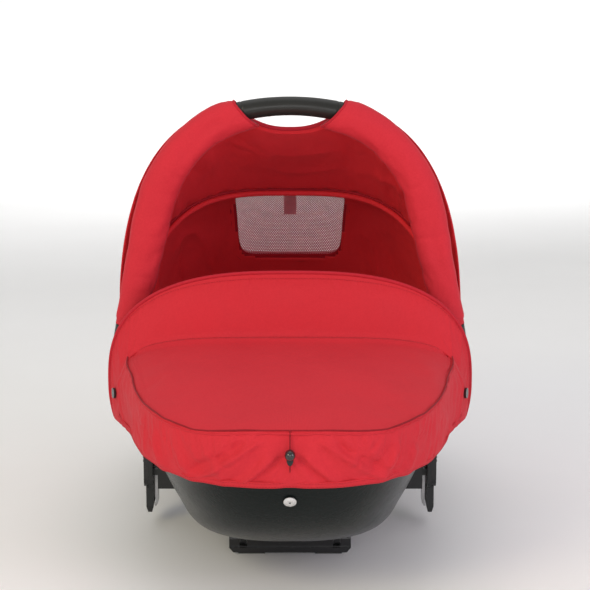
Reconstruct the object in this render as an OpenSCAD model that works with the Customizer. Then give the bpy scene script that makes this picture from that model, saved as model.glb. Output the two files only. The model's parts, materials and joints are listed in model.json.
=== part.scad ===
// Lie-flat infant car seat: a rocker-bottomed tub with a carrying handle, a folding hood,
// an apron with a wind flap, docking arms for a chassis and two fold-out feet.
// Millimetres. +X is the baby's side, -Y the foot end, +Z up, origin on the floor under the middle.

/* [Tub] */
// Length of the tub over its rim
tub_l = 776; // [768:2:780]
// Width of the tub over its rim
tub_w = 372; // [368:2:376]
// Height of the rim's edge above the floor
rim_z = 208; // [204:1:212]
// Height of the tub's underside at the middle
floor_z = 24; // [23:0.5:26]
// Thickness of the tub's wall
wall_t = 3; // [2.5:0.1:3.2]
// Radius of the rocker-shaped underside
rocker_r = 1250; // [1100:50:1500]

/* [Handle] */
// Height of the handle's pivot
pivot_z = 158; // [156:1:159]
// Height of the handle's centreline at its top
bar_top_z = 524; // [510:2:540]
// Diameter of the handle's bar
bar_d = 21; // [19:0.5:22]
// Radius of the pivot housings
hub_r = 40; // [36:1:40]

/* [Hood] */
// Angle of the rear bow behind the vertical
bow_angle = 45; // [43:1:46]
// Radius of the rear bow from the pivot to its top
bow_top_r = 322; // [315:1:328]
// Diameter of the bow's wire
bow_d = 5; // [4:0.5:5]
// Thickness of the hood's fabric
hood_t = 2.5; // [2:0.1:2.6]

/* [Apron] */
// Height of the apron at the wind flap
apron_z = 250; // [245:1:255]
// Height of the wind flap's top edge
flap_z = 329; // [315:1:335]
// Thickness of the apron's fabric
apron_t = 3; // [2:0.5:3]

/* [Feet] */
// Distance of each foot from the middle
foot_y = 128; // [120:2:140]
// Width of a foot
foot_w = 146; // [130:2:160]

/* [Mattress] */
// Thickness of the mattress
mattress_t = 36; // [28:1:38]

/* [Hidden] */

black = "#2b2d2e";
gloss_black = "#141516";
red = "#c8303a";
dark_red = "#a11f2b";
mesh_pink = "#c98a98";
grey = "#7d8584";
steel = "#c9ccce";
fine = 64;

half_l = tub_l / 2;
half_w = tub_w / 2;
bar_r = bar_d / 2;
head_end_y = 403.6;   // furthest point of the hood at the head end
plan_n = 3.2;        // squareness of the tub seen from above
foot_taper = 0.1;    // how much narrower the foot end is
end_e = 0.25;        // roundness of the tub's two ends
// Half width of the tub as a share of its rim's, by degrees up the wall's arc
side_share = [[0, 0], [12, 0.43], [18, 0.56], [26, 0.65], [34, 0.70], [42, 0.735], [49, 0.78], [60, 0.85],
              [74, 0.955], [90, 1]];
around = 56;         // facets round the tub
levels = 9;          // levels from keel to rim
keel_phi = 12;       // lowest ring of the tub, in degrees of its wall's arc

// Across the pivot, from the tub outwards: base, bow tang, handle end, cap and button
base_x = 189;
tang_x = base_x + 0.2;
tang_t = 1.6;
end_x = base_x + 2.2;
end_t = 14;
cap_x = end_x + end_t;
cap_t = 2.6;
pin_r = 6;
gap = 0.05;          // radial clearance of a running fit
button_r = 12;
button_out = 3;
button_travel = 4;
gear_r = 18;
gear_x = end_x + 4;
gear_t = 4;
collar_r = 21.9;

// The handle's bar: three arcs and a straight leg, each from one heading below the horizontal to the next
arc_r = [280, 150, 300];
head = [0, 13, 72, 80];
leg_end_z = 232;
arc_c = [
    [0, bar_top_z - arc_r[0]],
    [(arc_r[0] - arc_r[1]) * sin(head[1]), bar_top_z - arc_r[0] + (arc_r[0] - arc_r[1]) * cos(head[1])],
    [(arc_r[0] - arc_r[1]) * sin(head[1]) + (arc_r[1] - arc_r[2]) * sin(head[2]),
     bar_top_z - arc_r[0] + (arc_r[0] - arc_r[1]) * cos(head[1]) + (arc_r[1] - arc_r[2]) * cos(head[2])]
];
function arc_pt(i, h) = arc_c[i] + arc_r[i] * [sin(h), cos(h)];
leg_top = arc_pt(2, head[3]);
leg_l = (leg_top[1] - leg_end_z) / sin(head[3]);
leg_end = leg_top + leg_l * [cos(head[3]), -sin(head[3])];

// ---- Shapes in numbers ----

function sgn(x) = x < 0 ? -1 : 1;
function spow(x, e) = sgn(x) * pow(abs(x), e);
function flat(g) = [for (r = g) each r];

// A point of a rounded-rectangle outline, narrower at the foot end, at angle t
function plan(t, a, b, n) =
    let (y = b * spow(sin(t), 2 / n), x = a * spow(cos(t), 2 / n))
    [x * (1 - foot_taper * pow(max(0, -y / b), 2)), y];

// A point of the tub's wall, phi degrees up its arc from the keel, inset mm inside its outer face
function tub_pt(t, phi, inset) =
    let (p = plan(t, (half_w - inset) * lookup(phi, side_share), (half_l - inset) * pow(sin(phi), end_e), plan_n),
         keel = floor_z + inset + p[1] * p[1] / (2 * rocker_r))
    [p[0], p[1], keel + (rim_z - keel) * (1 - cos(phi))];

function tub_ring(phi, inset) = [for (j = [0:around - 1]) tub_pt(360 * j / around, phi, inset)];
function tub_wall(inset) = [for (i = [0:levels]) tub_ring(keel_phi + (90 - keel_phi) * i / levels, inset)];
function keel_pt(inset) = [0, 0, floor_z + inset];
function reversed(l) = [for (i = [len(l) - 1:-1:0]) l[i]];

// Triangles over a grid of points with r rows of c, starting at vertex off
function grid_faces(r, c, off = 0, flip = false, wrap = false) =
    [for (i = [0:r - 2], j = [0:(wrap ? c - 1 : c - 2)])
        let (a = off + i * c + j, b = off + i * c + (j + 1) % c, d = a + c, e = b + c)
        each (flip ? [[a, d, b], [b, d, e]] : [[a, b, d], [b, e, d]])];

// Walls that join the edges of two equal grids, the second one n vertices on
function edge_faces(r, c, n, wrap = false) = concat(
    [for (j = [0:(wrap ? c - 1 : c - 2)])
        let (a = j, b = (j + 1) % c) each [[b, a, n + a], [b, n + a, n + b]]],
    [for (j = [0:(wrap ? c - 1 : c - 2)])
        let (d = (r - 1) * c + j, e = (r - 1) * c + (j + 1) % c) each [[d, e, n + e], [d, n + e, n + d]]],
    wrap ? [] : [for (i = [0:r - 2])
        let (a = i * c, d = a + c) each [[a, d, n + d], [a, n + d, n + a]]],
    wrap ? [] : [for (i = [0:r - 2])
        let (b = i * c + c - 1, e = b + c) each [[e, b, n + b], [e, n + b, n + e]]]);

// A closed sheet between an outer and an inner grid; wrap joins its last column to its first
module slab(outer, inner, wrap = false) {
    r = len(outer);
    c = len(outer[0]);
    polyhedron(concat(flat(outer), flat(inner)),
        concat(grid_faces(r, c, 0, false, wrap), grid_faces(r, c, r * c, true, wrap),
            edge_faces(r, c, r * c, wrap)), convexity = 6);
}

// A closed body through rings, ending in a point at each end
module loft(rings, first, last) {
    r = len(rings);
    c = len(rings[0]);
    n = r * c;
    polyhedron(concat(flat(rings), [first, last]),
        concat(grid_faces(r, c, 0, false, true),
            [for (j = [0:c - 1]) [(j + 1) % c, j, n]],
            [for (j = [0:c - 1]) [n - c + j, n - c + (j + 1) % c, n + 1]]), convexity = 6);
}

// A closed ring through rings that join last to first
module ring_loft(rings) {
    r = len(rings);
    c = len(rings[0]);
    polyhedron(flat(rings),
        [for (i = [0:r - 1], j = [0:c - 1])
            let (a = i * c + j, b = i * c + (j + 1) % c, d = ((i + 1) % r) * c + j, e = ((i + 1) % r) * c + (j + 1) % c)
            each [[a, b, d], [b, e, d]]], convexity = 6);
}

// The room inside the wall's outer face moved in by inset, as a solid
module tub_solid(inset) {
    loft(reversed(tub_wall(inset)), [0, 0, rim_z], keel_pt(inset));
}

// A copy on the other side of the middle for side -1
module on_side(side) {
    if (side > 0) children();
    else mirror([1, 0, 0]) children();
}

// A copy for the head end for place 1, and mirrored to the foot end for place -1
module at_end(place) {
    if (place > 0) children();
    else mirror([0, 1, 0]) children();
}

// A cylinder along +X from x0, centred on the handle's pivot
module across(x0, length, r) {
    translate([x0, 0, pivot_z]) rotate([0, 90, 0]) cylinder(h = length, r = r, $fn = fine);
}

// ---- Tub ----

slot_y = 170;        // strap slots in the tub's sides
slot_z = 90;
rivet_z = 135;       // blind rivets in the tub's two ends
rivet_r = 2.4;
rivet_tilt = 31;     // lean of the end walls
vent_y = [-44, 0, 44];
vent_r = 5;

module strap_slots() {
    for (side = [-1, 1], place = [-1, 1])
        translate([side * 130, place * slot_y, slot_z]) cube([60, 9, 26], center = true);
}

// A frame on the tub's end wall with +Z pointing straight out of it, for each end
module at_rivets() {
    for (place = [-1, 1]) at_end(place)
        translate([0, half_l * 0.954, rivet_z]) rotate([-90 - rivet_tilt, 0, 0]) children();
}

module vents(r, z0, length) {
    for (y = vent_y, side = [-1, 1])
        translate([side * 22, y, z0]) cylinder(h = length, r = r, $fn = fine);
}

module shell() {
    color(black) difference() {
        loft(concat(tub_wall(wall_t), reversed(tub_wall(0))), keel_pt(wall_t), keel_pt(0));
        on_side(1) across(150, 60, pin_r);
        on_side(-1) across(150, 60, pin_r);
        at_rivets() translate([0, 0, -20]) cylinder(h = 40, r = rivet_r, $fn = fine);
        vents(vent_r, floor_z - 4, 16);
        strap_slots();
    }
}

// Lip that hooks over the wall's edge: inset and height of each corner of its section
trim_section = [[-2.4, rim_z - 8], [-0.5, rim_z - 8], [-0.5, rim_z + 0.3], [wall_t + 1.2, rim_z + 0.3],
                [wall_t + 1.2, rim_z - 2.8], [wall_t + 2.8, rim_z - 2.8], [wall_t + 2.8, rim_z + 3.5],
                [wall_t + 1, rim_z + 6], [-0.8, rim_z + 6], [-2.4, rim_z + 3.5]];

module rim_trim() {
    color(black) ring_loft([for (s = trim_section)
        [for (j = [0:around - 1])
            let (p = plan(360 * j / around, half_w - s[0], half_l - s[0], plan_n)) [p[0], p[1], s[1]]]]);
}

module vent_grommets() {
    color(gloss_black) difference() {
        union() {
            vents(vent_r - 0.05, floor_z - 1.4, 7);
            vents(vent_r + 2, floor_z - 2.6, 2.2);
        }
        vents(vent_r - 1.8, floor_z - 5, 20);
    }
}

// Large-flange blind rivets, one at each end
module end_rivets() {
    color(steel) at_rivets() difference() {
        union() {
            translate([0, 0, -5]) cylinder(h = 6, r = rivet_r - 0.05, $fn = fine);
            translate([0, 0, 0.4]) cylinder(h = 1, r = 7, $fn = fine);
            translate([0, 0, 1.4]) cylinder(h = 1.2, r1 = 7, r2 = 4, $fn = fine);
        }
        translate([0, 0, -3]) cylinder(h = 12, r = 1.1, $fn = fine);
    }
}

// ---- Inside ----

liner_gap = 4;
liner_t = 7;
liner_around = 40;
liner_levels = 7;
board_z = 72;
board_t = 3;
mattress_z = board_z + board_t + 0.4;

function liner_wall(inset, top) = [for (i = [0:liner_levels])
    [for (j = [0:liner_around - 1])
        let (p = tub_pt(360 * j / liner_around, 20 + 67 * i / liner_levels, inset)) [p[0], p[1], min(p[2], top)]]];

module liner() {
    in = wall_t + liner_gap;
    color(red) loft(concat(liner_wall(in + liner_t, rim_z - 9), reversed(liner_wall(in, rim_z - 9))),
        keel_pt(in + liner_t) + [0, 0, 3], keel_pt(in) + [0, 0, 3]);
}

module base_board() {
    color(grey) difference() {
        linear_extrude(board_t) polygon([for (j = [0:35]) plan(10 * j, 104, 228, plan_n)]);
        for (y = [-160, -80, 0, 80, 160]) translate([0, y, -1]) cylinder(h = board_t + 2, r = 9, $fn = fine);
    }
}

function slab_ring(a, b, z) = [for (j = [0:39]) let (p = plan(9 * j, a, b, 3.4)) [p[0], p[1], z]];

module mattress() {
    z = mattress_z;
    t = mattress_t;
    color(grey) loft(reversed([slab_ring(94, 236, z), slab_ring(108, 262, z + 5), slab_ring(122, 294, z + 0.5 * t),
            slab_ring(133, 312, z + 0.85 * t), slab_ring(128, 306, z + t)]),
        [0, 0, z + t], [0, 0, z]);
}

// Padded wings of the belly belt: a strap's centreline from its slot in the wall to the buckle
belt_y = -20;
belt_w = 56;
belt_path = [[154, 140.2], [140, 134], [112, 125], [80, 119], [50, 117.5], [26, 118]];
buckle_z = mattress_z + mattress_t + 1;

function belt_grid(dz) = [for (k = [0:4]) [for (p = belt_path) [p[0], belt_y + belt_w * (k / 4 - 0.5) *
    (p[0] > 130 ? 0.7 : 1), p[1] + dz]]];

module belly_pad(side) {
    color(red) on_side(side) slab(belt_grid(7), belt_grid(0));
}

module crotch_strap() {
    color(black) translate([-14, belt_y - 92, buckle_z]) cube([28, 63.9, 2.4]);
}

module buckle_body() {
    color(gloss_black) translate([0, belt_y, buckle_z]) difference() {
        linear_extrude(15) offset(r = 7) square([36, 42], center = true);
        translate([-8.2, -12.2, 8]) cube([16.4, 24.4, 10]);
    }
}

module buckle_button() {
    color(dark_red) translate([-8, belt_y - 12, buckle_z + 11.2]) cube([16, 24, 5]);
}

// ---- Pivots and handle ----

module hub_base(side) {
    color(black) on_side(side) difference() {
        union() {
            across(150, base_x - 150, hub_r);
            across(base_x - 1, 2.9, collar_r);
        }
        tub_solid(-0.15);
        across(140, 60, pin_r + gap);
    }
}

module pivot_pin(side) {
    color(steel) on_side(side) across(176, 22, pin_r - gap);
}

// One half of the bar's path from its top down: each entry a centre and its heading
bar_half = concat([for (h = [3.25:3.25:13]) [arc_pt(0, h), h]], [for (h = [19:6:67]) [arc_pt(1, h), h]],
    [for (h = [72:2:80]) [arc_pt(2, h), h]], [[leg_end, head[3]]]);
bar_path = concat([for (s = reversed(bar_half)) [[-s[0][0], s[0][1]], -s[1]]], [[[0, bar_top_z], 0]], bar_half);

module handle_bar() {
    rings = [for (s = bar_path) [for (k = [0:19]) let (u = bar_r * cos(18 * k), v = bar_r * sin(18 * k))
        [s[0][0] + u * sin(s[1]), v, s[0][1] + u * cos(s[1])]]];
    color(gloss_black) loft(rings, [-leg_end[0], 0, leg_end[1]], [leg_end[0], 0, leg_end[1]]);
}

grip_half = 12;      // half of the grip's length, in degrees of the top arc
grip_t = 1.6;

module handle_grip() {
    color(black) translate([0, 0, arc_c[0][1]]) rotate([90, 0, 0]) rotate([0, 0, 90 - grip_half])
        rotate_extrude(angle = 2 * grip_half, $fn = 180) translate([arc_r[0], 0]) difference() {
            circle(r = bar_r + grip_t, $fn = fine);
            circle(r = bar_r + 0.08, $fn = fine);
        }
}

// Moulded end of the handle: a disc on the pivot and an arm up to the bar's leg
arm_r = 12.5;
socket_l = 20;

module handle_end(side) {
    color(black) on_side(side) difference() {
        union() {
            across(end_x, 4, hub_r);
            translate([end_x + 4, 0, pivot_z]) rotate([0, 90, 0]) cylinder(h = end_t - 4, r1 = hub_r, r2 = hub_r - 9, $fn = fine);
            translate([0, 11, 0]) rotate([90, 0, 0]) linear_extrude(22) polygon([
                [end_x + 3, pivot_z + 14], [end_x + 12.5, pivot_z + 14], [end_x + 13.9, pivot_z + 29],
                [leg_end[0] + 8.5, leg_end[1] + 5], [leg_end[0] - 10, leg_end[1] + 5]]);
            translate([leg_end[0], 0, leg_end[1]]) rotate([0, head[3] - 90, 0]) translate([0, 0, -4])
                cylinder(h = socket_l + 4, r = arm_r, $fn = fine);
        }
        translate([leg_end[0], 0, leg_end[1]]) rotate([0, head[3] - 90, 0]) translate([0, 0, -0.3])
            cylinder(h = socket_l + 1.3, r = bar_r + 0.05, $fn = fine);
        across(end_x - 1, 13, gear_r + 2);
        across(end_x - 1, end_t + 2, button_r + 0.1);
    }
}

module hub_cap(side) {
    color(gloss_black) on_side(side) difference() {
        across(cap_x, cap_t, hub_r - 12);
        across(cap_x - 1, cap_t + 2, button_r + 0.1);
    }
}

// Push button and the toothed lock plate that it carries
module lock_button(side) {
    teeth = 10;
    color(grey) on_side(side) difference() {
        union() {
            across(gear_x + 1, cap_x + cap_t + button_out - gear_x - 1, button_r);
            translate([gear_x, 0, pivot_z]) rotate([90, 0, 90]) linear_extrude(gear_t) union() {
                circle(r = gear_r - 3, $fn = fine);
                for (k = [0:teeth - 1]) rotate(360 * k / teeth) translate([0, -2.4]) square([gear_r, 4.8]);
            }
        }
        across(gear_x - 1, 9, pin_r + 0.3);
    }
}

// Return spring of a button: a flat coil between the base's collar and the lock plate
spring_r = 11;
wire_r = 0.6;
coil_turns = 2;
coil_steps = 12;

module lock_spring(side) {
    x0 = base_x + 2.6;
    rise = gear_x - x0 - 2 * wire_r - 0.1;
    steps = coil_turns * coil_steps;
    rings = [for (i = [0:steps]) let (a = 360 * i / coil_steps, x = x0 + wire_r + rise * i / steps)
        [for (k = [0:5]) [x + wire_r * sin(60 * k), (spring_r + wire_r * cos(60 * k)) * cos(a),
            pivot_z + (spring_r + wire_r * cos(60 * k)) * sin(a)]]];
    color(steel) on_side(side) loft(rings, [x0 + wire_r, spring_r, pivot_z],
        [x0 + wire_r + rise, spring_r * cos(360 * coil_turns), pivot_z + spring_r * sin(360 * coil_turns)]);
}

// ---- Hood ----

// Rings of the padded sleeve along the bar: headings over the arcs, then lengths down the leg
sleeve_heads = [13.5, 19, 26, 33, 40, 48, 56, 64, 71.5, 79.5];
sleeve_legs = [30, 70, leg_l - 22];
sleeve_out = 17;     // from the bar's centreline to the sleeve's outer and inner edges
sleeve_in = 25;
sleeve_half_y = 19;

function bar_at(h) = h < head[1] ? arc_pt(0, h) : h < head[2] ? arc_pt(1, h) : arc_pt(2, h);
// Each ring's centre on the bar, its heading and the sleeve's inner and outer reach from the centre
sleeve_spine = concat([for (h = sleeve_heads) [bar_at(h), h, sleeve_in, sleeve_out]],
    [for (l = sleeve_legs) let (w = l / leg_l)
        [leg_top + l * [cos(head[3]), -sin(head[3])], head[3], sleeve_in - w * (sleeve_in - 15), sleeve_out]]);

function sleeve_ring(s, mid, ru, rv) = [for (k = [0:15])
    let (u = mid + ru * cos(22.5 * k), v = rv * sin(22.5 * k), c = s[0], h = s[1])
    [c[0] + u * sin(h), v, c[1] + u * cos(h)]];

module sleeve(side) {
    color(red) on_side(side)
        slab([for (s = sleeve_spine) sleeve_ring(s, (s[3] - s[2]) / 2, (s[3] + s[2]) / 2, sleeve_half_y)],
            [for (s = sleeve_spine) sleeve_ring(s, 0, bar_r + grip_t + 0.6, bar_r + grip_t + 0.6)], true);
}

// The hood's skin: t runs over it from the right rim to the left one, v from its front edge to the rim
hood_n = 2.8;
hood_steps = 28;
front_half_w = 213;
front_low_z = 215;
cut_half = 76;       // half width of the hand's cut-out
cut_drop = 36;
bow_half_w = 203;
bow_low_r = 60;
bow_wire_w = 197;

// The angle round an arch at u, which runs from -1 at the right rim to 1 at the left one
function arch_t(u) = 90 + 90 * spow(u, 1.4);

function front_edge(t) =
    let (x = front_half_w * spow(cos(t), 2 / hood_n),
         z = front_low_z + (bar_top_z + 4 - front_low_z) * pow(sin(t), 2 / hood_n),
         dip = abs(x) < cut_half ? pow(1 - pow(abs(x) / cut_half, 2.5), 1.3) : 0)
    [x, 21 + 17 * dip, z - cut_drop * dip];

// Half width and height, from the pivot, of an arch in the bow's plane
function bow_arch(t, w, top) = [w * spow(cos(t), 0.6), bow_low_r + (top - bow_low_r) * pow(sin(t), 0.8)];

function bow_line(t) = let (p = bow_arch(t, bow_half_w, bow_top_r + bow_d / 2 + hood_t + 2))
    [p[0], p[1] * sin(bow_angle), pivot_z + p[1] * cos(bow_angle)];

function rim_line(t) = [197 * spow(cos(t), 2 / plan_n), 48 + (head_end_y - 48) * pow(sin(t), 2 / plan_n), 176];

// In front of the bow the skin is a shallow curve, behind it a rounder one
function hood_front_pt(t, w) = let (a = front_edge(t), b = bow_line(t)) a + w * (b - a)
    + 4 * w * (1 - w) * [0, 5, 8] * sin(t);
function hood_rear_pt(t, w) = let (a = bow_line(t), b = rim_line(t),
    h = 0.25 * w + 0.75 * sin(90 * w), d = 0.25 * w + 0.75 * (1 - cos(90 * w)))
    [a[0] + h * (b[0] - a[0]), a[1] + h * (b[1] - a[1]), a[2] + d * (b[2] - a[2])];
function hood_pt(u, v) = let (t = arch_t(u)) v < 0.5 ? hood_front_pt(t, 2 * v) : hood_rear_pt(t, 2 * v - 1);

hood_core = [0, 130, 190];
function inward(p, d) = let (w = hood_core - p) p + d * w / norm(w);
function hood_row(v, u0, u1, steps) = [for (i = [0:steps]) hood_pt(u0 + (u1 - u0) * i / steps, v)];
function hood_grid(v0, v1, rows, u0, u1, steps) = [for (k = [0:rows]) hood_row(v0 + (v1 - v0) * k / rows, u0, u1, steps)];
function thinner(g, d) = [for (r = g) [for (p = r) inward(p, d)]];

module skin(v0, v1, rows, u0, u1, steps, t) {
    g = hood_grid(v0, v1, rows, u0, u1, steps);
    slab(g, thinner(g, t));
}

bow_v = 0.5;
window_u = 0.26;
window_v = [0.53, 0.83];

module hood_top() {
    color(red) skin(0, bow_v - 0.004, 5, -1, 1, hood_steps, hood_t);
}

// The rear panel is one sheet with the window's hole in it: side columns, hole columns and rows
side_cols = 11;
hole_cols = 8;
rear_u = concat([for (i = [0:side_cols]) -1 + (1 - window_u) * i / side_cols],
    [for (i = [1:hole_cols - 1]) window_u * (2 * i / hole_cols - 1)],
    [for (i = [0:side_cols]) window_u + (1 - window_u) * i / side_cols]);
rear_v = concat([bow_v], [for (i = [0:3]) window_v[0] + (window_v[1] - window_v[0]) * i / 3], [0.89, 0.95, 1]);

function in_hole(i, j) = i >= 1 && i < 4 && j >= side_cols && j < side_cols + hole_cols;
function solid_at(i, j) = i >= 0 && j >= 0 && i < len(rear_v) - 1 && j < len(rear_u) - 1 && !in_hole(i, j);

module hood_rear() {
    r = len(rear_v);
    c = len(rear_u);
    n = r * c;
    g = [for (v = rear_v) [for (u = rear_u) hood_pt(u, v)]];
    cells = [for (i = [0:r - 2], j = [0:c - 2]) if (solid_at(i, j)) [i, j]];
    // Each edge of a cell with nothing beyond it gets a wall through the thickness
    walls = [for (q = cells) let (i = q[0], j = q[1], a = i * c + j, b = a + 1, d = a + c, e = d + 1)
        each concat(solid_at(i - 1, j) ? [] : [[b, a, n + a], [b, n + a, n + b]],
            solid_at(i + 1, j) ? [] : [[d, e, n + e], [d, n + e, n + d]],
            solid_at(i, j - 1) ? [] : [[a, d, n + d], [a, n + d, n + a]],
            solid_at(i, j + 1) ? [] : [[e, b, n + b], [e, n + b, n + e]])];
    color(dark_red) polyhedron(concat(flat(g), flat(thinner(g, hood_t))), concat(
        [for (q = cells) let (a = q[0] * c + q[1], b = a + 1, d = a + c, e = d + 1) each [[a, b, d], [b, e, d],
            [n + a, n + d, n + b], [n + b, n + d, n + e]]], walls), convexity = 6);
}

module hood_window() {
    color(mesh_pink) skin(window_v[0] + 0.003, window_v[1] - 0.003, 3, 0.005 - window_u, window_u - 0.005, 8, 1);
}

module window_strap() {
    g = [for (k = [0:3]) [for (u = [-0.05, 0, 0.05]) hood_pt(u, window_v[0] + 0.12 * k / 3) + [0, 2, 3]]];
    color(grey) slab(g, [for (r = g) [for (p = r) p - [0, 0.9, 1.3]]]);
}

// Wire bow of the hood, in its own plane, with flat tangs on the pivots
module hood_bow() {
    wire = bow_d / 2;
    pts = [for (i = [0:48]) let (p = bow_arch(0.5 + 179 * i / 48, bow_wire_w, bow_top_r))
        [p[0] - sgn(p[0]) * 6.4 * max(0, 1 - (p[1] - bow_low_r) / 26), p[1]]];
    rings = [for (i = [0:48])
        let (a = pts[max(i - 1, 0)], b = pts[min(i + 1, 48)], d = (b - a) / norm(b - a), m = [-d[1], d[0]])
        [for (k = [0:7]) [pts[i][0] + wire * cos(45 * k) * m[0], wire * sin(45 * k), pts[i][1] + wire * cos(45 * k) * m[1]]]];
    color(steel) translate([0, 0, pivot_z]) rotate([-bow_angle, 0, 0]) translate([0, 0, -pivot_z]) {
        translate([0, 0, pivot_z]) loft(rings, [pts[0][0], 0, pts[0][1]], [pts[48][0], 0, pts[48][1]]);
        for (side = [-1, 1]) on_side(side) difference() {
            union() {
                across(tang_x, tang_t, collar_r + 7);
                translate([tang_x, -6, pivot_z + 20]) cube([tang_t, 12, 64]);
            }
            across(tang_x - 1, tang_t + 2, collar_r + gap);
        }
    }
}

// ---- Apron ----

// Outline of the apron's upper seam and of its hem, k from -1 at one end of the flap to 1 at the other
crease_y = -78;
skirt_steps = 32;

function foot_outline(k, a, b, n, taper) = let (s = pow(cos(90 * k), 2 / n))
    [a * spow(sin(90 * k), 2 / n) * (1 - taper * pow(s, 1.5)), crease_y - (b + crease_y) * s];

seam_b = half_l + 6.5;
function seam_pt(k) = let (p = foot_outline(k, 190, seam_b, 3.8, 0.17))
    [p[0], p[1], 220 + (apron_z - 20 - 220) * pow(max(0, p[1] + seam_b) / (seam_b + crease_y), 1.2)];
function hem_pt(k) = let (p = foot_outline(k, 190, half_l - 1, 3, 0.16)) [p[0], p[1], 155 + 2 * abs(k)];
function bulge_pt(k) = let (p = foot_outline(k, 194, half_l + 8, 3.4, 0.16))
    [p[0], p[1], 0.55 * seam_pt(k)[2] + 0.45 * hem_pt(k)[2]];

function skirt_grid(inset) = [for (w = [0, 0.25, 0.5, 0.75, 1])
    [for (i = [0:skirt_steps]) let (k = -1 + 2 * i / skirt_steps, s = seam_pt(k), m = bulge_pt(k), h = hem_pt(k),
        p = (1 - w) * (1 - 2 * w) * s + 4 * w * (1 - w) * m + w * (2 * w - 1) * h,
        q = norm([p[0], p[1] + 150]))
        [p[0] - inset * p[0] / q, p[1] - inset * (p[1] + 150) / q, p[2]]]];

module apron_skirt() {
    color(red) slab(skirt_grid(0), skirt_grid(apron_t));
}

// Top sheet: rows from the crease to the foot-end seam, slightly crowned
module apron_top() {
    rows = 8;
    cols = 16;
    function top_pt(r, c) =
        let (k = 1 - r / rows, u = -1 + 2 * c / cols, e = seam_pt(k * 0.96), w = abs(e[0]) - 4,
             y = r == 0 ? crease_y - 0.5 : e[1] + 4)
        [u * w, y, e[2] + 1.5 + (4 + 16 * k) * pow(1 - pow(abs(u), 4), 0.25)];
    g = [for (r = [0:rows]) [for (c = [0:cols]) top_pt(r, c)]];
    color(red) slab(g, [for (r = g) [for (p = r) p - [0, 0, apron_t]]]);
}

// Wind flap: from the crease edge across the apron to the free edge that stands in front of the hood
flap_half_w = 221;
flap_low_z = 187;

function flap_free(t) = let (s = max(sin(t), 0), low = t < 0 ? -t : t > 180 ? t - 180 : 0)
    [(flap_half_w - 0.01 * low * low) * sgn(cos(t)) * (low > 0 ? 1 : pow(abs(cos(t)), 2 / 2.7)),
     -42 - 18 * s,
     flap_low_z + (flap_z - flap_low_z) * pow(s, 2 / 2.7) - 1.7 * low];
function flap_crease(t) = let (s = max(sin(t), 0), low = t < 0 ? -t : t > 180 ? t - 180 : 0)
    [202 * sgn(cos(t)) * (low > 0 ? 1 : pow(abs(cos(t)), 2 / 4)),
     crease_y - 26 * pow(1 - s, 3),
     flap_low_z + (apron_z + 2 - flap_low_z) * pow(s, 2 / 4) - 1.5 * low];
function flap_grid(d) = [for (w = [0:0.25:1]) [for (i = [0:36]) let (t = -24 + 228 * i / 36,
    p = (1 - w) * flap_crease(t) + w * flap_free(t), q = [p[0], 0, p[2] - 150], n = norm(q)) p - d * q / n]];

module wind_flap() {
    color(red) slab(flap_grid(0), flap_grid(apron_t));
}

// Press studs at the flap's two ends
module flap_snaps() {
    color(gloss_black) for (side = [-1, 1]) on_side(side)
        translate([213, -70, 182]) rotate([0, 90, -18]) cylinder(h = 2.4, r = 6.5, $fn = fine);
}

// Ball knob of the apron's foot-end fastening, on its teardrop keeper
module apron_toggle() {
    color(gloss_black) translate([0, -half_l - 12.8, 194]) union() {
        sphere(r = 4.6, $fn = fine);
        translate([0, 4.1, 0]) rotate([90, 0, 0]) linear_extrude(1.6) union() {
            circle(r = 6.6, $fn = fine);
            polygon([[-6, -2.8], [6, -2.8], [1, -13], [-1, -13]]);
        }
    }
}

// ---- Docking arms ----

dock_y = 33;         // half width of a docking arm
dock_in = 165;
dock_out = 182;
dock_top = 112;
dock_low = 51;
tongue_low = 16;
release_z = 84;
release_travel = 8;
latch_z = 78;

// An upright plate with rounded corners, from x0 outwards
module dock_plate(x0, t, half_y, z0, z1, r) {
    translate([x0, 0, 0]) rotate([90, 0, 90]) linear_extrude(t) hull() for (y = [-1, 1])
        for (z = [z0 + r, z1 - r]) translate([y * (half_y - r), z]) circle(r = r, $fn = 32);
}

module dock_bracket(side) {
    color(black) on_side(side) difference() {
        translate([70, -28, 49]) cube([dock_in - 70, 56, 46]);
        tub_solid(-0.15);
        translate([dock_in - 6, -12, 44]) cube([7, 24, 40]);
    }
}

module dock_tongue(side) {
    color(black) on_side(side) difference() {
        union() {
            dock_plate(171, 5, dock_y, dock_low - 2, dock_top, 10);
            hull() {
                translate([171, -22, tongue_low + 8]) cube([9, 44, dock_low - tongue_low - 8.4]);
                translate([173, -18, tongue_low]) cube([5, 36, 4]);
            }
            for (z = [66, 84]) translate([dock_in, 17, z]) cube([6.2, 9, 8]);
            for (z = [66, 84]) translate([dock_in, -26, z]) cube([6.2, 9, 8]);
        }
        translate([170, -9.2, release_z - 10.2]) cube([8, 18.4, 20.4 + release_travel]);
    }
}

module dock_cover(side) {
    color(gloss_black) on_side(side) difference() {
        dock_plate(176.1, dock_out - 176.1, dock_y, dock_low, dock_top, 12);
        translate([170, -9.2, release_z - 10.2]) cube([20, 18.4, 20.4 + release_travel]);
        for (y = [-1, 1]) translate([176, y * 22, 98]) rotate([0, 90, 0]) cylinder(h = 10, r = 2.55, $fn = fine);
    }
}

module dock_screws() {
    color(steel) for (side = [-1, 1], y = [-1, 1]) on_side(side)
        translate([176.2, y * 22, 98]) rotate([0, 90, 0]) cylinder(h = 5.2, r = 2.5, $fn = fine);
}

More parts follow.
